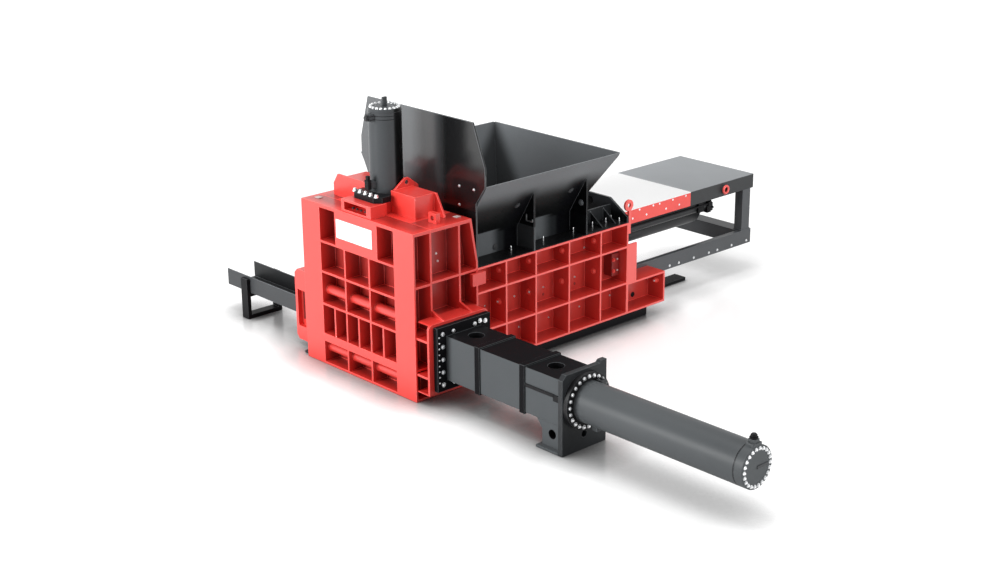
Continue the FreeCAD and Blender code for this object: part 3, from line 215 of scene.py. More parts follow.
# ---------------------------------------------------------------- skids and bed
# Black box beams on the floor carry the press box. They are rolled sections, painted, with
# their long edges slightly rounded; the bed of the box lies on them.
def worn_paint(name, colour, roughness, tone=0.12, coat=0.0, faces=(), pocket_shade=0.42, reach=0.34,
               fade=None, bands=(), patches=(), shine=0.5):
    """Sprayed paint on plate: uneven tone and gloss, orange peel, painted light and shade.

    Faces are the outer planes of a ribbed plate, each an axis and its distance from the middle:
    paint that lies a reach behind all of them, down in the pockets, is darkened to a share of its
    colour, a painted shade. A fade is a direction, two places along it and the share of the colour
    left beyond the second; it darkens the paint as painted shade. A band is an axis, a place, a half
    width and the colour of its paint; bands paint dark joints and lines, and also painted highlights,
    painted reflections and painted shade. A patch is a box of two or three axes, each with a place, a
    half width and the softness of its ends, and the colour inside it; patches paint light and shade.
    Shine is the paint's specular level.
    """
    paint = Coat(name)
    cloud = paint.noise(0.55, 4.0)
    grain = paint.noise(38.0, 3.0)
    peel = paint.noise(210.0, 2.0)
    shade = paint.ramp(cloud * 0.75 + grain * 0.25, (0.32, 0.0), (0.68, 1.0))
    low = tuple(channel * (1.0 - tone) for channel in colour)
    high = tuple(min(1.0, channel * (1.0 + tone)) for channel in colour)
    tint = paint.blend(shade, low, high)
    # Painted shade: paint down in the pockets is darkened to a share of its colour.
    if faces:
        deep = 1.0
        for axis, distance in faces:
            behind = distance - paint.size(paint.along(axis))
            deep = paint.add("ShaderNodeMath", 0, {"operation": "MINIMUM"},
                             {0: deep, 1: behind / reach})
        tint = paint.blend(paint.eased(deep), tint, tuple(channel * pocket_shade for channel in colour))
    # Painted shade: beyond the fade's second place the paint is darkened.
    if fade:
        direction, start, end, share = fade
        place = paint.add("ShaderNodeVectorMath", "Value", {"operation": "DOT_PRODUCT"},
                          {0: paint.place, 1: direction})
        tint = paint.blend(paint.eased(place, start, end), tint,
                           tuple(channel * share for channel in colour))
    # Bands paint dark joints and lines, and also painted highlights, reflections and shade.
    for axis, middle, half, band in bands:
        tint = paint.blend(paint.size(paint.along(axis) - middle) < half, tint, band)
    # Patches paint light and shade on the sheet.
    for limits, inner in patches:
        inside = 1.0
        for axis, middle, half, soft in limits:
            inside *= paint.eased((half - paint.size(paint.along(axis) - middle)) / soft)
        tint = paint.blend(inside, tint, inner)
    paint.set(paint.shader.inputs["Specular IOR Level"], shine)
    paint.finish(Base_Color=tint, Roughness=grain * 0.14 + (roughness - 0.07),
                 Normal=paint.bump(peel * 0.6 + grain * 0.4, 0.25, 0.0012))
    paint.set(paint.shader.inputs["Coat Weight"], coat)
    paint.set(paint.shader.inputs["Coat Roughness"], 0.18)
    return paint.material


def skin(node, body, finish, slot, edge_finish=None, width=0.006, segments=2, split=False):
    """Copy of a CAD node with its flat faces joined and its edges rounded; it stands for it.

    Split cuts the faces that run round many pockets into plain ones.
    """
    work = bmesh.new()
    work.from_mesh(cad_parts[node].data)
    bmesh.ops.remove_doubles(work, verts=work.verts, dist=0.00002)
    bmesh.ops.dissolve_limit(work, angle_limit=radians(1.0), verts=work.verts, edges=work.edges)
    if split:
        bmesh.ops.connect_verts_concave(work, faces=work.faces)
    mesh = bpy.data.meshes.new(node)
    work.to_mesh(mesh)
    work.free()
    mesh.materials.append(finish)
    mesh.materials.append(edge_finish or finish)
    rough = bpy.data.objects.new("rough", mesh)
    bpy.context.scene.collection.objects.link(rough)
    edges = rough.modifiers.new("edges", "BEVEL")
    edges.width, edges.segments, edges.limit_method = width, segments, "ANGLE"
    edges.angle_limit, edges.material = radians(32.0), 1
    rough.modifiers.new("flat_faces", "WEIGHTED_NORMAL").keep_sharp = True
    for polygon in mesh.polygons:
        polygon.use_smooth = True
    return settle(rough, node + "_piece", body, slot, node)


def settle(rough, name, body, slot, *nodes):
    """Freeze an object's modifiers into a plain mesh that rides on a body."""
    bpy.context.view_layer.update()
    mesh = bpy.data.meshes.new_from_object(rough.evaluated_get(bpy.context.evaluated_depsgraph_get()))
    mesh.name = name
    bpy.data.objects.remove(rough)
    piece = bpy.data.objects.new(name, mesh)
    bpy.context.scene.collection.objects.link(piece)
    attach(piece, body)
    if nodes:
        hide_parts(*nodes)
    return piece


BLACK = worn_paint("skid_black_paint", (0.007, 0.007, 0.008), 0.42, shine=0.1)
# A lighter paint for the rounded edges: a painted highlight.
BLACK_EDGE = worn_paint("skid_edge_paint", (0.045, 0.047, 0.05), 0.4, shine=0.2)
for beam in ("skid_near_outer", "skid_near_inner", "skid_far_inner", "skid_far_outer", "head_foot"):
    skin(beam, "base", BLACK, "black_paint", BLACK_EDGE, 0.012)


# ---------------------------------------------------------------- press box
# Two ribbed walls of welded plate in three rows of pockets, on a thick bed, sprayed red; the rib
# edges are ground round before painting. Painted shade darkens the paint down in the pockets, and
# a lighter red on the ribs' outer faces and on the rounded edges is a painted highlight.
RED_TONE = (0.70, 0.040, 0.031)
RED = worn_paint("box_red_paint", RED_TONE, 0.34, 0.08, 0.3)
# A lighter red for the rounded edges: a painted highlight.
RED_EDGE = worn_paint("box_red_edges", (0.95, 0.10, 0.085), 0.32, 0.05, 0.3)
# A thin band of lighter red on the ribs' outer faces: a painted highlight.
RIB_HIGHLIGHT_RED = (0.95, 0.12, 0.105)
RIB_PLANE = 1.462
# Down in the pockets of the walls the paint is darkened to 70 %: painted shade.
BOX_RED = worn_paint("box_wall_red_paint", (0.74, 0.055, 0.042), 0.34, 0.08, 0.3,
                     (("Y", RIB_PLANE),), 0.7,
                     bands=(("Y", -RIB_PLANE, 0.003, RIB_HIGHLIGHT_RED), ("Y", RIB_PLANE, 0.003, RIB_HIGHLIGHT_RED)))
skin("bed", "base", RED, "red_paint", RED_EDGE)
for plate in ("press_box_near_wall", "press_box_far_wall"):
    skin(plate, "base", BOX_RED, "red_paint", RED_EDGE)


# ---------------------------------------------------------------- liners
# Bolted wear plates inside the box and the chamber, bare rolled steel with grinding marks
# that run along the way the scrap is pushed.
def bare_steel(name, colour, stretch, roughness=0.34):
    """Rolled or ground steel with fine scratches, stretched along one way."""
    metal = Coat(name)
    drawn = metal.add("ShaderNodeMapping", 0, {}, {"Vector": metal.place, "Scale": stretch})
    scratch = metal.noise(60.0, 5.0, 0.7, drawn)
    stain = metal.noise(0.8, 4.0)
    shade = metal.ramp(scratch * 0.5 + stain * 0.5, (0.3, 0.0), (0.7, 1.0))
    metal.finish(Base_Color=metal.blend(shade, tuple(c * 0.8 for c in colour), colour), Metallic=1.0,
                 Roughness=scratch * 0.2 + (roughness - 0.1), Normal=metal.bump(scratch, 0.2, 0.0008))
    return metal.material


def refinish(node, finish):
    """Give a CAD node that already has the right shape its finish."""
    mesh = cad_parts[node].data
    mesh.materials.clear()
    mesh.materials.append(finish)


LINER = bare_steel("liner_steel", (0.42, 0.41, 0.40), (0.15, 3.0, 3.0))
DARK_STEEL = bare_steel("ram_dark_steel", (0.05, 0.048, 0.046), (3.0, 0.15, 3.0), 0.5)
for liner in ("floor_liner", "front_liner"):
    refinish(liner, LINER)


# ---------------------------------------------------------------- head
# The head is a welded frame: two columns with five rows of ribbed pockets and round bars in
# front, ribbed sides, a deck over the top ram and a raised pad for the side guide.
HEAD_FRONT, HEAD_SIDE = ("X", 0.725), ("Y", 1.528)
# Down in the pockets of the head's front and sides the paint is darkened: painted shade.
FRONT_RED = worn_paint("head_front_red_paint", RED_TONE, 0.34, 0.08, 0.3, (HEAD_FRONT, HEAD_SIDE),
                       reach=0.24)
SIDE_RED = worn_paint("head_side_red_paint", RED_TONE, 0.34, 0.08, 0.3, (HEAD_SIDE,))
skin("head_front_frame", "base", FRONT_RED, "red_paint", RED_EDGE, split=True)
for plate in ("head_near_side", "head_far_side"):
    skin(plate, "base", SIDE_RED, "red_paint", RED_EDGE, split=True)
for plate in ("head_deck", "head_lifting_ear"):
    skin(plate, "base", RED, "red_paint", RED_EDGE)


def blocks(name, body, slot, finish, corners, width=0.004):
    """Small plates and blocks between pairs of corners, with rounded edges, as one piece."""
    work = bmesh.new()
    for low, high in corners:
        size = [b - a for a, b in zip(low, high)]
        middle = [(a + b) / 2 for a, b in zip(low, high)]
        bmesh.ops.create_cube(work, size=1.0, matrix=Matrix.LocRotScale(middle, None, size))
    mesh = bpy.data.meshes.new(name)
    work.to_mesh(mesh)
    work.free()
    mesh.materials.append(finish)
    rough = bpy.data.objects.new("rough", mesh)
    bpy.context.scene.collection.objects.link(rough)
    edges = rough.modifiers.new("edges", "BEVEL")
    edges.width, edges.segments = width, 2
    rough.modifiers.new("flat_faces", "WEIGHTED_NORMAL").keep_sharp = True
    for polygon in mesh.polygons:
        polygon.use_smooth = True
    return settle(rough, name, body, slot)


# A bare white plate is on the head's front, and two small pale pads lie on its deck.
PLATE_WHITE = worn_paint("name_plate_white", (0.86, 0.86, 0.86), 0.4, 0.02)
NAME_PLATE = [((-0.733, -0.45, 2.49), (-0.725, 0.53, 2.83))]
blocks("name_plate", "base", "grey_paint", PLATE_WHITE, NAME_PLATE, 0.002)
DECK, PAD_TOP = 3.0, 3.012
PAD_PALE = worn_paint("deck_pad_pale", (0.5, 0.42, 0.41), 0.4)
DECK_PADS = [((-0.54, 1.26, DECK), (-0.44, 1.38, PAD_TOP)),
             ((0.42, -1.33, DECK), (0.52, -1.23, PAD_TOP))]
blocks("deck_pads", "base", "wear_steel", PAD_PALE, DECK_PADS)


# ---------------------------------------------------------------- portal and hopper
# Dark folded sheet: a tall clipped wall at the head, two flared sides with tall ribs, a
# sloping back and the arched plate over the rear of the box. The rounded edges carry a lighter
# paint, a painted highlight. Painted shade darkens the sheet under the flare, before each rib, in
# the inner corner, towards the portal's foot and towards the near end of the front wall; a painted
# reflection lightens the foot of the near wall.
DARK = worn_paint("hopper_dark_paint", (0.06, 0.066, 0.07), 0.34, 0.1, shine=0.15)
# A lighter paint for the rounded edges of the sheets: a painted highlight.
DARK_EDGE = worn_paint("hopper_edge_paint", (0.13, 0.14, 0.15), 0.35, shine=0.3)
# Towards the near side the front wall's paint is darkened to 8 %: painted shade.
FRONT_WALL = worn_paint("hopper_front_paint", (0.09, 0.097, 0.102), 0.16, 0.1, shine=0.5,
                        fade=((0.0, 1.0, 0.0), -0.3, -0.75, 0.08))
SHADE = worn_paint("hopper_outer_paint", (0.010, 0.010, 0.011), 0.3, 0.1, shine=0.1)
# Painted light and shade for the near wall: a painted reflection on its foot, painted shade under the
# flare and before each rib.
SHEET_PAINTED_LIGHT, SHEET_DIM_REFLECTION, SHEET_PAINTED_SHADE = (0.14, 0.15, 0.158), (0.022, 0.024, 0.026), (0.004, 0.004, 0.005)
WALL_FOOT, UNDER_FLARE = ("Z", 2.26, 0.245, 0.02), ("Z", 2.88, 0.40, 0.22)
# Below the flare the near wall's paint is darkened to 3 %, painted shade; its band and patches paint
# reflections and shade.
OUTER_WALL = worn_paint("hopper_side_paint", (0.16, 0.17, 0.178), 0.3, 0.1, shine=0.1,
                        fade=((0.02, 0.0, 1.0), 3.40, 2.97, 0.03),
                        bands=(("Z", 2.24, 0.19, SHEET_DIM_REFLECTION),),
                        patches=(((WALL_FOOT, ("X", 1.20, 0.50, 0.25)), SHEET_PAINTED_LIGHT),
                                 ((WALL_FOOT, ("X", 2.45, 0.55, 0.35)), SHEET_PAINTED_LIGHT),
                                 ((UNDER_FLARE, ("X", 1.95, 0.35, 0.30)), SHEET_PAINTED_SHADE),
                                 ((UNDER_FLARE, ("X", 3.25, 0.35, 0.30)), SHEET_PAINTED_SHADE),
                                 ((WALL_FOOT, ("X", 1.95, 0.22, 0.10)), SHEET_PAINTED_SHADE),
                                 ((WALL_FOOT, ("X", 3.28, 0.24, 0.10)), SHEET_PAINTED_SHADE)))
INNER_GREY = (0.105, 0.113, 0.12)
# The far and rear inside walls are darkened towards the inner corner: painted shade.
FAR_INSIDE = worn_paint("hopper_far_inside_paint", INNER_GREY, 0.34, 0.1, shine=0.2,
                        fade=((1.0, 0.0, -1.286), -0.66, -0.26, 0.22))
REAR_INSIDE = worn_paint("hopper_rear_inside_paint", INNER_GREY, 0.34, 0.1, shine=0.2,
                         fade=((0.0, 1.0, -1.239), -3.0, -2.55, 0.18))
# Towards its foot the portal's paint is darkened to 12 %: painted shade.
PORTAL_PAINT = worn_paint("portal_dark_paint", (0.05, 0.053, 0.06), 0.3, 0.1, shine=0.15,
                          fade=((0.0, 0.0, 1.0), 2.42, 2.15, 0.12))
for sheet, finish in (("rear_portal", PORTAL_PAINT), ("hopper_near_wall", OUTER_WALL),
                      ("hopper_far_wall", FAR_INSIDE), ("hopper_front_wall", FRONT_WALL),
                      ("hopper_rear_wall", REAR_INSIDE)):
    skin(sheet, "base", finish, "grey_paint", DARK_EDGE, 0.005)

# A thin dark plate lies on the top of each box wall, where the hopper's foot is bolted down.
BOX_TOP = 2.05
TOP_PLATES = [((0.787, low, BOX_TOP), (4.53, high, BOX_TOP + 0.014))
              for low, high in ((-1.455, -1.03), (1.03, 1.455))]
blocks("box_top_plates", "base", "grey_paint", SHADE, TOP_PLATES, 0.003)


# ---------------------------------------------------------------- rails and bulkhead
# Cantilever rails behind the box guide the carriage; a cross wall between them holds the
# barrels of the main ram.
RAIL_GREY = worn_paint("rail_grey_paint", (0.085, 0.09, 0.096), 0.38, shine=0.3)
for beam in ("rail_near", "rail_far", "rail_end_tie", "cylinder_bulkhead"):
    skin(beam, "base", RAIL_GREY, "grey_paint", DARK_EDGE)


# ---------------------------------------------------------------- main cylinders
# Dark barrels with closed ends lie under the carriage table. Their chromed rods push the
# ram's face from behind.
BARREL_BLACK = worn_paint("barrel_black_paint", (0.02, 0.021, 0.023), 0.34, shine=0.3)
CHROME = bare_steel("rod_chrome_steel", (0.78, 0.79, 0.80), (1.0, 1.0, 0.2), 0.16)
for side in ("centre", "near", "far"):
    skin("main_barrel_" + side, "base", BARREL_BLACK, "grey_paint", BLACK_EDGE, 0.004)
    refinish("main_rod_" + side, CHROME)


# Black fittings on the near barrel: a clamp round its end, a saddle before it, a small block
# behind it for the unions, and a thin pipe along its side with a clip.
END_BLOCKS = [((7.72, -0.72, 1.42), (7.84, -0.38, 1.76)), ((7.42, -0.74, 1.48), (7.60, -0.68, 1.77)),
              ((7.42, -0.74, 1.725), (7.60, -0.37, 1.77)), ((7.88, -0.63, 1.40), (8.0, -0.47, 1.58)),
              ((4.75, -0.755, 1.60), (7.76, -0.725, 1.64)), ((7.70, -0.77, 1.57), (7.80, -0.71, 1.67))]
blocks("main_barrel_fittings", "base", "black_paint", BLACK, END_BLOCKS, 0.01)


# ---------------------------------------------------------------- main ram carriage
# A red channel with a bolted pale wear plate, then a grey sheet table on two legs with slide
# shoes. The face that presses the scrap is solid.
WEAR = worn_paint("wear_pale_zinc", (0.98, 0.98, 0.98), 0.5, 0.02)
# Below its top face the table's paint is darkened to 15 %: painted shade on its sides.
TABLE = worn_paint("table_grey_paint", (0.31, 0.325, 0.34), 0.42,
                   fade=((0.0, 0.0, 1.0), 2.089, 2.080, 0.15), shine=0.2)
SHELL_RED = worn_paint("shell_red_paint", (0.95, 0.075, 0.06), 0.34, 0.05, 0.3)
for plate in ("main_ram_face", "main_ram_shell"):
    skin(plate, "main_ram", SHELL_RED, "red_paint", RED_EDGE)
skin("main_ram_wear_top", "main_ram", WEAR, "wear_steel", WEAR, 0.003)
skin("carriage_apron", "main_ram", TABLE, "grey_paint", TABLE)


def eye_ring(name, body, slot, finish, centre, axis, radius, wire):
    """A round ring of bar about a centre, facing along an axis."""
    sides, parts = 32, 12
    turn = Vector(axis).to_track_quat("Z", "Y").to_matrix()
    places, faces = [], []
    for step in range(sides):
        for part in range(parts):
            out = radius + wire * cos(tau * part / parts)
            spot = Vector((out * cos(tau * step / sides), out * sin(tau * step / sides),
                           wire * sin(tau * part / parts)))
            places.append(Vector(centre) + turn @ spot)
            after, beside = (step + 1) % sides, (part + 1) % parts
            faces.append((step * parts + part, after * parts + part,
                          after * parts + beside, step * parts + beside))
    mesh = bpy.data.meshes.new(name)
    mesh.from_pydata(places, [], faces)
    mesh.materials.append(finish)
    for polygon in mesh.polygons:
        polygon.use_smooth = True
    rough = bpy.data.objects.new("rough", mesh)
    bpy.context.scene.collection.objects.link(rough)
    return settle(rough, name, body, slot)


EYE_CENTRE, EYE_RADIUS, EYE_BAR = (7.89, -1.045, 1.9455), 0.072, 0.025
TO_NEAR_SIDE = (0, -1, 0)
eye_ring("table_eye_ring", "main_ram", "red_paint", RED_EDGE, EYE_CENTRE, TO_NEAR_SIDE,
         EYE_RADIUS, EYE_BAR)
for leg in ("carriage_near_leg", "carriage_far_leg"):
    skin(leg, "main_ram", RAIL_GREY, "grey_paint", DARK_EDGE)


# ---------------------------------------------------------------- top cylinder
# A red seat on the deck carries the flanged barrel of the ram that presses from above. Dark
# lines show where its collar is welded and where the barrel meets the flange.
for plate in ("top_cylinder_seat", "deck_housing_near", "deck_housing_far"):
    skin(plate, "base", RED, "red_paint", RED_EDGE)
BAND_BLACK = (0.008, 0.008, 0.009)
# On the barrel's side turned away from the front lamp the paint is darkened to 4 %: painted shade.
TOP_GREY = worn_paint("top_cylinder_paint", (0.058, 0.063, 0.067), 0.34, 0.1, shine=0.1,
                      fade=((0.73, -0.68, 0.0), 0.15, 0.19, 0.04),
                      bands=(("Z", 4.613, 0.006, BAND_BLACK), ("Z", 4.672, 0.006, BAND_BLACK),
                             ("Z", 3.28, 0.055, BAND_BLACK)))
for part in ("top_cylinder_barrel", "top_cylinder_cap"):
    skin(part, "base", TOP_GREY, "grey_paint", BLACK_EDGE, 0.004)
TOP_VALVE = [((-0.45, -0.05, 3.40), (-0.375, 0.05, 3.57)), ((-0.44, -0.03, 3.57), (-0.385, 0.03, 3.64))]
blocks("top_valve_block", "base", "black_paint", BLACK, TOP_VALVE, 0.006)
refinish("top_ram_platen", LINER)
refinish("top_ram_rod", CHROME)


# ---------------------------------------------------------------- side guide and cylinder
# The side ram runs in a dark box bolted to the head's pad, stiffened by two collar bands and
# closed by a thick end plate that carries the long cylinder. The box's flange and its bands are
# black and its sides grey; its top is painted black as well, a painted shade.
# The band across X paints the box's top black: painted shade.
GUIDE_BANDS = (("X", 0.0, 0.388, BAND_BLACK), ("Y", -2.725, 0.061, BAND_BLACK),
               ("Y", -3.795, 0.061, BAND_BLACK), ("Y", -1.9, 0.06, BAND_BLACK))
GUIDE_PAINT = worn_paint("guide_dark_paint", (0.085, 0.092, 0.097), 0.4, 0.1, shine=0.02,
                         bands=GUIDE_BANDS)
CYLINDER_GREY = worn_paint("side_cylinder_paint", (0.068, 0.074, 0.078), 0.4, 0.08, shine=0.15,
                           bands=(("Y", -4.85, 0.045, BAND_BLACK), ("Y", -8.1, 0.012, BAND_BLACK)))
END_PAINT = worn_paint("end_plate_paint", (0.022, 0.024, 0.026), 0.34, 0.1, shine=0.15)
for plate, finish in (("side_guide_box", GUIDE_PAINT), ("side_guide_leg", GUIDE_PAINT),
                      ("side_end_plate", END_PAINT), ("side_cylinder_barrel", CYLINDER_GREY),
                      ("side_cylinder_cap", CYLINDER_GREY)):
    skin(plate, "base", finish, "grey_paint", DARK, 0.005)
refinish("side_ram_block", DARK_STEEL)
refinish("side_ram_rod", CHROME)

# A flat strip runs along the guide's side, a port block sits on the barrel by its ring, and the
# cap has the foot of its union on top and a short bar on its face.
GUIDE_STRIP = [((-0.413, -4.52, 0.91), (-0.393, -3.86, 0.965)),
               ((-0.413, -4.69, 0.85), (-0.393, -4.50, 0.96))]
blocks("guide_side_strip", "base", "black_paint", BLACK, GUIDE_STRIP, 0.003)
RING_PORT = [((0.15, -5.03, 1.09), (0.27, -4.90, 1.18)), ((0.19, -4.99, 1.18), (0.23, -4.94, 1.22))]
blocks("ring_port_block", "base", "black_paint", BLACK_EDGE, RING_PORT, 0.008)
CAP_PORT = [((-0.10, -8.26, 1.14), (0.10, -8.11, 1.225))]
blocks("cap_port_base", "base", "grey_paint", CYLINDER_GREY, CAP_PORT, 0.01)
CAP_FACE = -8.263
CAP_BAR = [((0.0, CAP_FACE - 0.012, 0.815), (0.24, CAP_FACE, 0.865))]
blocks("cap_face_bar", "base", "black_paint", BLACK_EDGE, CAP_BAR, 0.004)


# ---------------------------------------------------------------- gate and chute
# On the far side a red frame guides the gate that shuts the bale passage. The finished bales
# slide away along an open black channel on a stand.
for plate in ("gate_frame", "gate_bracket"):
    skin(plate, "base", RED, "red_paint", RED_EDGE)
skin("gate_cylinder_barrel", "base", BARREL_BLACK, "grey_paint", BLACK_EDGE, 0.003)
GATE_RED = worn_paint("gate_dark_red", (0.10, 0.008, 0.006), 0.5, shine=0.2)
refinish("gate_plate", GATE_RED)
refinish("gate_rod", CHROME)
# Beyond X = 0.3 the chute's paint is darkened to 40 %: painted shade.
CHUTE_PAINT = worn_paint("chute_dark_paint", (0.05, 0.053, 0.056), 0.4, shine=0.15,
                         fade=((1.0, 0.0, 0.0), -0.3, 0.3, 0.4))
for sheet, finish, edge in (("bale_chute", CHUTE_PAINT, DARK_EDGE), ("chute_stand", BLACK, BLACK_EDGE)):
    skin(sheet, "base", finish, "grey_paint", edge, 0.004)


# ---------------------------------------------------------------- bolts of flanges, caps and rails
# Zinc plated hexagon bolts on washers hold the flanges, the cylinder caps and the rails. One
# tree of nodes sets a bolt on each seat and turns it along the seat's own direction. With many
# sides the same head is a round stud, plug or union.
ZINC = bare_steel("bolt_zinc_steel", (0.86, 0.87, 0.88), (1.0, 1.0, 1.0), 0.28)
HEXAGON = 6
ROUND = 24


def bolt_tree():
    """Geometry nodes: washer, head and crown on each point of a mesh."""
    tree = bpy.data.node_groups.new("bolts_on_seats", "GeometryNodeTree")
    face = tree.interface
    face.new_socket("Seats", in_out="INPUT", socket_type="NodeSocketGeometry")
    for name in ("Head radius", "Head height"):
        face.new_socket(name, in_out="INPUT", socket_type="NodeSocketFloat")
    face.new_socket("Sides", in_out="INPUT", socket_type="NodeSocketInt")
    face.new_socket("Finish", in_out="INPUT", socket_type="NodeSocketMaterial")
    face.new_socket("Bolts", in_out="OUTPUT", socket_type="NodeSocketGeometry")

    def put(kind, values=None, **settings):
        node = tree.nodes.new(kind)
        for name, value in settings.items():
            setattr(node, name, value)
        for name, value in (values or {}).items():
            if isinstance(value, bpy.types.NodeSocket):
                tree.links.new(value, node.inputs[name])
            else:
                node.inputs[name].default_value = value
        return node

    def times(value, factor):
        return put("ShaderNodeMath", {0: value, 1: factor}, operation="MULTIPLY").outputs[0]

    inputs = put("NodeGroupInput").outputs
    radius, height, sides = inputs["Head radius"], inputs["Head height"], inputs["Sides"]
    washer = put("GeometryNodeMeshCylinder", {"Vertices": ROUND, "Radius": times(radius, 1.3),
                                              "Depth": times(height, 0.3)})
    head = put("GeometryNodeMeshCone", {"Vertices": sides, "Radius Bottom": radius,
                                        "Radius Top": radius, "Depth": times(height, 0.75)})
    crown = put("GeometryNodeMeshCone", {"Vertices": ROUND, "Radius Bottom": times(radius, 0.9),
                                         "Radius Top": times(radius, 0.72),
                                         "Depth": times(height, 0.2)})
    joined = put("GeometryNodeJoinGeometry")
    for form, share in ((washer, 0.15), (head, 0.0), (crown, 0.75)):
        move = put("ShaderNodeCombineXYZ", {"Z": times(height, share)})
        lifted = put("GeometryNodeTransform", {"Geometry": form.outputs["Mesh"],
                                               "Translation": move.outputs[0]})
        tree.links.new(lifted.outputs[0], joined.inputs[0])
    aim = put("GeometryNodeInputNamedAttribute", {"Name": "aim"}, data_type="FLOAT_VECTOR")
    turn = put("FunctionNodeAlignRotationToVector", {"Vector": aim.outputs[0]}, axis="Z")
    bolts = put("GeometryNodeInstanceOnPoints", {"Points": inputs["Seats"],
                                                 "Instance": joined.outputs[0],
                                                 "Rotation": turn.outputs[0]})
    real = put("GeometryNodeRealizeInstances", {"Geometry": bolts.outputs[0]})
    painted = put("GeometryNodeSetMaterial", {"Geometry": real.outputs[0],
                                              "Material": inputs["Finish"]})
    out = put("NodeGroupOutput")
    tree.links.new(painted.outputs[0], out.inputs["Bolts"])
    return tree


BOLT_TREE = bolt_tree()


def bolts(name, body, seats, radius, height, sides=HEXAGON, nodes=(), slot="bolt_steel", finish=ZINC):
    """Bolts on seats, each a place and the way its head points."""
    mesh = bpy.data.meshes.new(name)
    mesh.from_pydata([place for place, aim in seats], [], [])
    turned = mesh.attributes.new("aim", "FLOAT_VECTOR", "POINT")
    for index, (place, aim) in enumerate(seats):
        turned.data[index].vector = aim
    rough = bpy.data.objects.new("rough", mesh)
    bpy.context.scene.collection.objects.link(rough)
    setting = rough.modifiers.new("bolts", "NODES")
    setting.node_group = BOLT_TREE
    chosen = {"Head radius": radius, "Head height": height, "Sides": sides, "Finish": finish}
    for item in BOLT_TREE.interface.items_tree:
        if item.in_out == "INPUT" and item.name in chosen:
            setting[item.identifier] = chosen[item.name]
    return settle(rough, name, body, slot, *nodes)


def ring(centre, radius, count, aim):
    """Seats on a level circle, or on an upright one when their bolts point to the near side."""
    seats = []
    for index in range(count):
        across, along = radius * cos(tau * index / count), radius * sin(tau * index / count)
        offset = (across, 0.0, along) if aim == TO_NEAR_SIDE else (across, along, 0.0)
        seats.append((tuple(a + b for a, b in zip(centre, offset)), aim))
    return seats


def facing(aim, *places):
    """Seats at places whose bolts all point the same way."""
    return [(place, aim) for place in places]


UP, TO_FRONT = (0, 0, 1), (-1, 0, 0)
GUIDE_AXIS = 0.845
BARREL_RING_FACE, FLANGE_FACE = -4.888, -1.95
SEAT_FLANGE_TOP, TOP_CAP_FACE = 3.327, 4.79
barrel_ring = ring((0.0, BARREL_RING_FACE, GUIDE_AXIS), 0.425, 24, TO_NEAR_SIDE)
bolts("barrel_ring_bolts", "base", barrel_ring, 0.026, 0.034)

flange = []
for hand in (-1, 1):
    flange += [(hand * 0.48, FLANGE_FACE, GUIDE_AXIS + step * 0.2275) for step in range(-2, 3)]
    flange += [(step * 0.24, FLANGE_FACE, GUIDE_AXIS + hand * 0.455) for step in (-1, 1)]
    flange.append((0.36, FLANGE_FACE, GUIDE_AXIS + hand * 0.485))
bolts("flange_bolt_heads", "base", facing(TO_NEAR_SIDE, *flange), 0.032, 0.034, nodes=("flange_bolts",))
edge_nuts = [(-0.562, FLANGE_FACE, GUIDE_AXIS + 0.41 - 0.102 * step) for step in range(9)]
bolts("flange_edge_nuts", "base", facing(TO_NEAR_SIDE, *edge_nuts), 0.012, 0.02)

studs = [(-0.472, step * 0.145, SEAT_FLANGE_TOP) for step in range(-2, 3)]
studs += [(0.322, step * 0.145, SEAT_FLANGE_TOP) for step in (-1, 0, 1)]
bolts("seat_studs", "base", facing(UP, *studs), 0.034, 0.06)

cap_rings = (ring((0.0, CAP_FACE, GUIDE_AXIS), 0.295, 22, TO_NEAR_SIDE)
             + ring((0.0, 0.0, TOP_CAP_FACE), 0.245, 20, UP))
bolts("cap_bolt_heads", "base", cap_rings, 0.023, 0.03)

RAIL_SIDE, RAIL_BOLT_LEVEL = 1.0, 0.70
RAIL_BOLT_PLACES = (6.285, 6.558, 7.007, 7.47, 7.734, 8.181, 8.652)
rail_bolts = [((place, hand * RAIL_SIDE, RAIL_BOLT_LEVEL), (0, hand, 0))
              for hand in (-1, 1) for place in RAIL_BOLT_PLACES]
bolts("rail_bolt_heads", "base", rail_bolts, 0.02, 0.02)


# ---------------------------------------------------------------- plugs and bolts of the box
# Round plugs, painted over, stand on the front faces of the ribs, and zinc bolts sit in the
# pockets. A block with two unions is in the last pocket of the middle row.
POCKET_SKIN, HEAD_SIDE_SKIN = 1.06, 1.208
# The plugs are a lighter red than the box around them: a painted highlight.
PLUG_RED = worn_paint("plug_red_paint", (0.85, 0.10, 0.08), 0.34, 0.05)
RIB_FRONTS = (1.429, 2.156, 2.996, 3.824)
plugs = [(place, hand * 1.288, height) for hand in (-1, 1) for place in RIB_FRONTS
         for height in (1.24, 1.83)]
bolts("box_plugs", "base", facing(TO_FRONT, *plugs), 0.046, 0.04, ROUND, slot="red_paint",
      finish=PLUG_RED)
bolts("extension_union", "base", facing(TO_FRONT, (5.594, -1.28, 0.64)), 0.042, 0.07, ROUND,
      slot="red_paint", finish=PLUG_RED)
plug_bolts = facing(TO_FRONT, (5.526, -1.28, 0.64), (1.393, -1.288, 1.24), (2.12, -1.33, 1.255))
bolts("plug_bolts", "base", plug_bolts, 0.02, 0.02)
bolts("extension_socket", "base", facing(TO_NEAR_SIDE, (5.158, -POCKET_SKIN, 0.39)), 0.04, 0.012,
      ROUND, slot="black_paint", finish=BLACK)

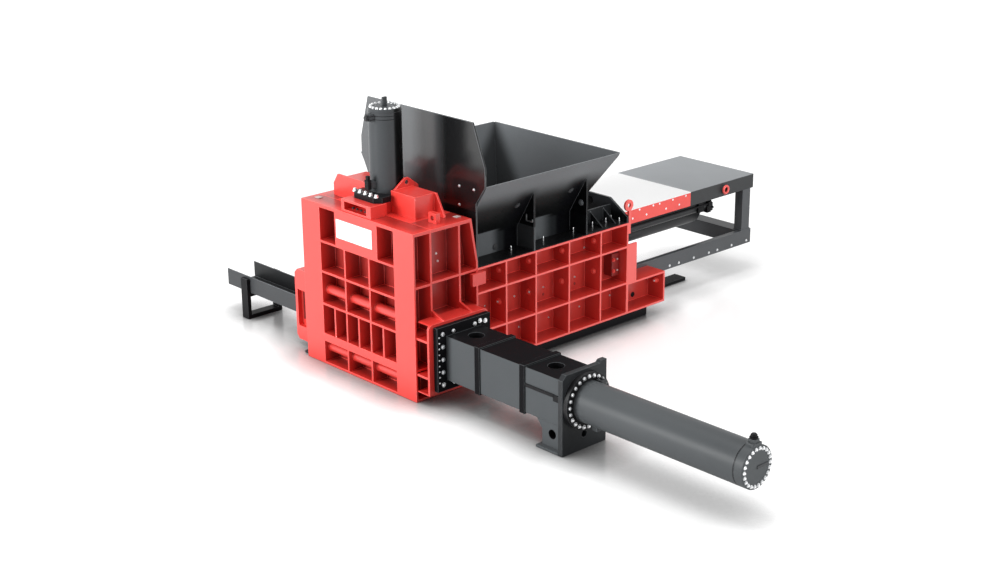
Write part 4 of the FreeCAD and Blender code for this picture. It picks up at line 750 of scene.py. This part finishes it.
CELL_RED = worn_paint("cell_block_paint", (0.20, 0.015, 0.012), 0.4)
CELL_FACE, CELL_LEVELS = -1.27, (1.10, 1.32)
blocks("cell_block", "base", "red_paint", CELL_RED,
       [((4.34, CELL_FACE, 1.0), (4.536, -POCKET_SKIN, 1.44))])
unions = [(4.38, CELL_FACE, height) for height in CELL_LEVELS]
bolts("cell_unions", "base", facing(TO_NEAR_SIDE, *unions), 0.03, 0.03, ROUND, slot="red_paint",
      finish=RED)
cell_bolts = [(4.49, CELL_FACE, height) for height in CELL_LEVELS]
bolts("cell_bolts", "base", facing(TO_NEAR_SIDE, *cell_bolts), 0.016, 0.02)

POCKET_BOLTS = ((2.121, 0.513), (2.875, 0.504), (3.683, 0.515), (4.512, 0.535), (2.765, 1.852),
                (3.806, 1.649), (1.289, 1.127), (2.012, 1.132), (2.74, 1.129), (3.556, 1.132))
HEAD_SIDE_BOLTS = ((0.046, 2.428), (0.079, 2.286), (0.203, 1.972))
pocket_bolts = [(place, -POCKET_SKIN, height) for place, height in POCKET_BOLTS]
pocket_bolts += [(place, -HEAD_SIDE_SKIN, height) for place, height in HEAD_SIDE_BOLTS]
bolts("pocket_bolts", "base", facing(TO_NEAR_SIDE, *pocket_bolts), 0.016, 0.02)
sockets = [(place, -POCKET_SKIN, height) for place, height in ((2.74, 0.99), (3.556, 1.0))]
bolts("pocket_sockets", "base", facing(TO_NEAR_SIDE, *sockets), 0.02, 0.01, ROUND,
      slot="black_paint", finish=CELL_RED)


# ---------------------------------------------------------------- pins, hook and plugs of the hopper
# Pale pins stand along the box's top and at the portal's foot, black covers close the portal's
# two round holes, and a bent hook hangs on the first rib of the hopper.
pins = [(place, -1.15, BOX_TOP) for place in (1.853, 2.651, 3.422, 3.924, 4.281)]
pins += [(4.49, across, BOX_TOP) for across in (-1.09, -1.30)]
bolts("box_top_pins", "base", facing(UP, *pins), 0.015, 0.1, ROUND)
covers = [(4.536, hand * 0.5, 2.31) for hand in (-1, 1)]
bolts("portal_covers", "base", facing(TO_FRONT, *covers), 0.06, 0.02, ROUND, slot="grey_paint",
      finish=BLACK)
HOOK_GREY = worn_paint("hook_grey", (0.13, 0.135, 0.14), 0.4)
HOOK = [((2.075, -1.316, 2.60), (2.097, -1.294, 2.715)), ((2.075, -1.46, 2.588), (2.097, -1.30, 2.612)),
        ((2.075, -1.466, 2.594), (2.097, -1.444, 2.645))]
blocks("hopper_hook", "base", "bolt_steel", HOOK_GREY, HOOK, 0.006)
wall_bolts = facing(TO_FRONT, (0.747, -1.049, 3.448), (0.747, -1.419, 3.451), (0.747, -1.041, 3.115))
bolts("hopper_bolts", "base", wall_bolts, 0.02, 0.025)
OUT_OF_FLARE = (0.0, -0.857, -0.515)
flare_plugs = facing(OUT_OF_FLARE, (1.836, -1.336, 2.934), (3.165, -1.335, 2.943))
foot_plug = facing(TO_NEAR_SIDE, (1.568, -1.036, 2.161))
bolts("hopper_plugs", "base", flare_plugs + foot_plug, 0.045, 0.02, ROUND, slot="grey_paint",
      finish=BLACK_EDGE)
bolts("hopper_rib_plug", "base", facing(TO_FRONT, (3.426, -1.345, 2.66)), 0.045, 0.03, ROUND,
      slot="grey_paint", finish=DARK_EDGE)


# ---------------------------------------------------------------- bolts of the carriage and the seat
# Flat zinc heads hold the carriage's red shell in two rows; they pass the box with room to
# spare. A row of small black bolts is in the window of the top cylinder's seat.
SHELL_SIDE = -0.992
shell_bolts = [(place, SHELL_SIDE, 2.04) for place in (5.389, 5.781, 5.963, 6.346, 6.729)]
shell_bolts += [(place, SHELL_SIDE, 1.90) for place in (5.199, 5.589, 6.151, 6.538)]
bolts("shell_bolts", "main_ram", facing(TO_NEAR_SIDE, *shell_bolts), 0.016, 0.005)
window_bolts = [(-0.56, -0.2 + 0.11 * step, 3.04) for step in range(5)]
bolts("window_bolts", "base", facing(UP, *window_bolts), 0.02, 0.03, finish=BLACK_EDGE)


# ---------------------------------------------------------------- port unions
# Round black unions for the oil pipes: on the top barrel, on the side cylinder's cap and on the
# block behind the near barrel.
bolts("top_port_union", "base", facing(TO_FRONT, (-0.38, 0.0, 4.646)), 0.045, 0.06, ROUND,
      slot="grey_paint", finish=BARREL_BLACK)
bolts("cap_port_union", "base", facing(UP, (0.0, -8.184, 1.28)), 0.052, 0.08, ROUND,
      slot="black_paint", finish=BLACK)
barrel_unions = facing(UP, (7.94, -0.55, 1.58)) + facing(TO_NEAR_SIDE, (7.94, -0.63, 1.49))
bolts("barrel_unions", "base", barrel_unions, 0.03, 0.06, ROUND, slot="black_paint",
      finish=BLACK_EDGE)
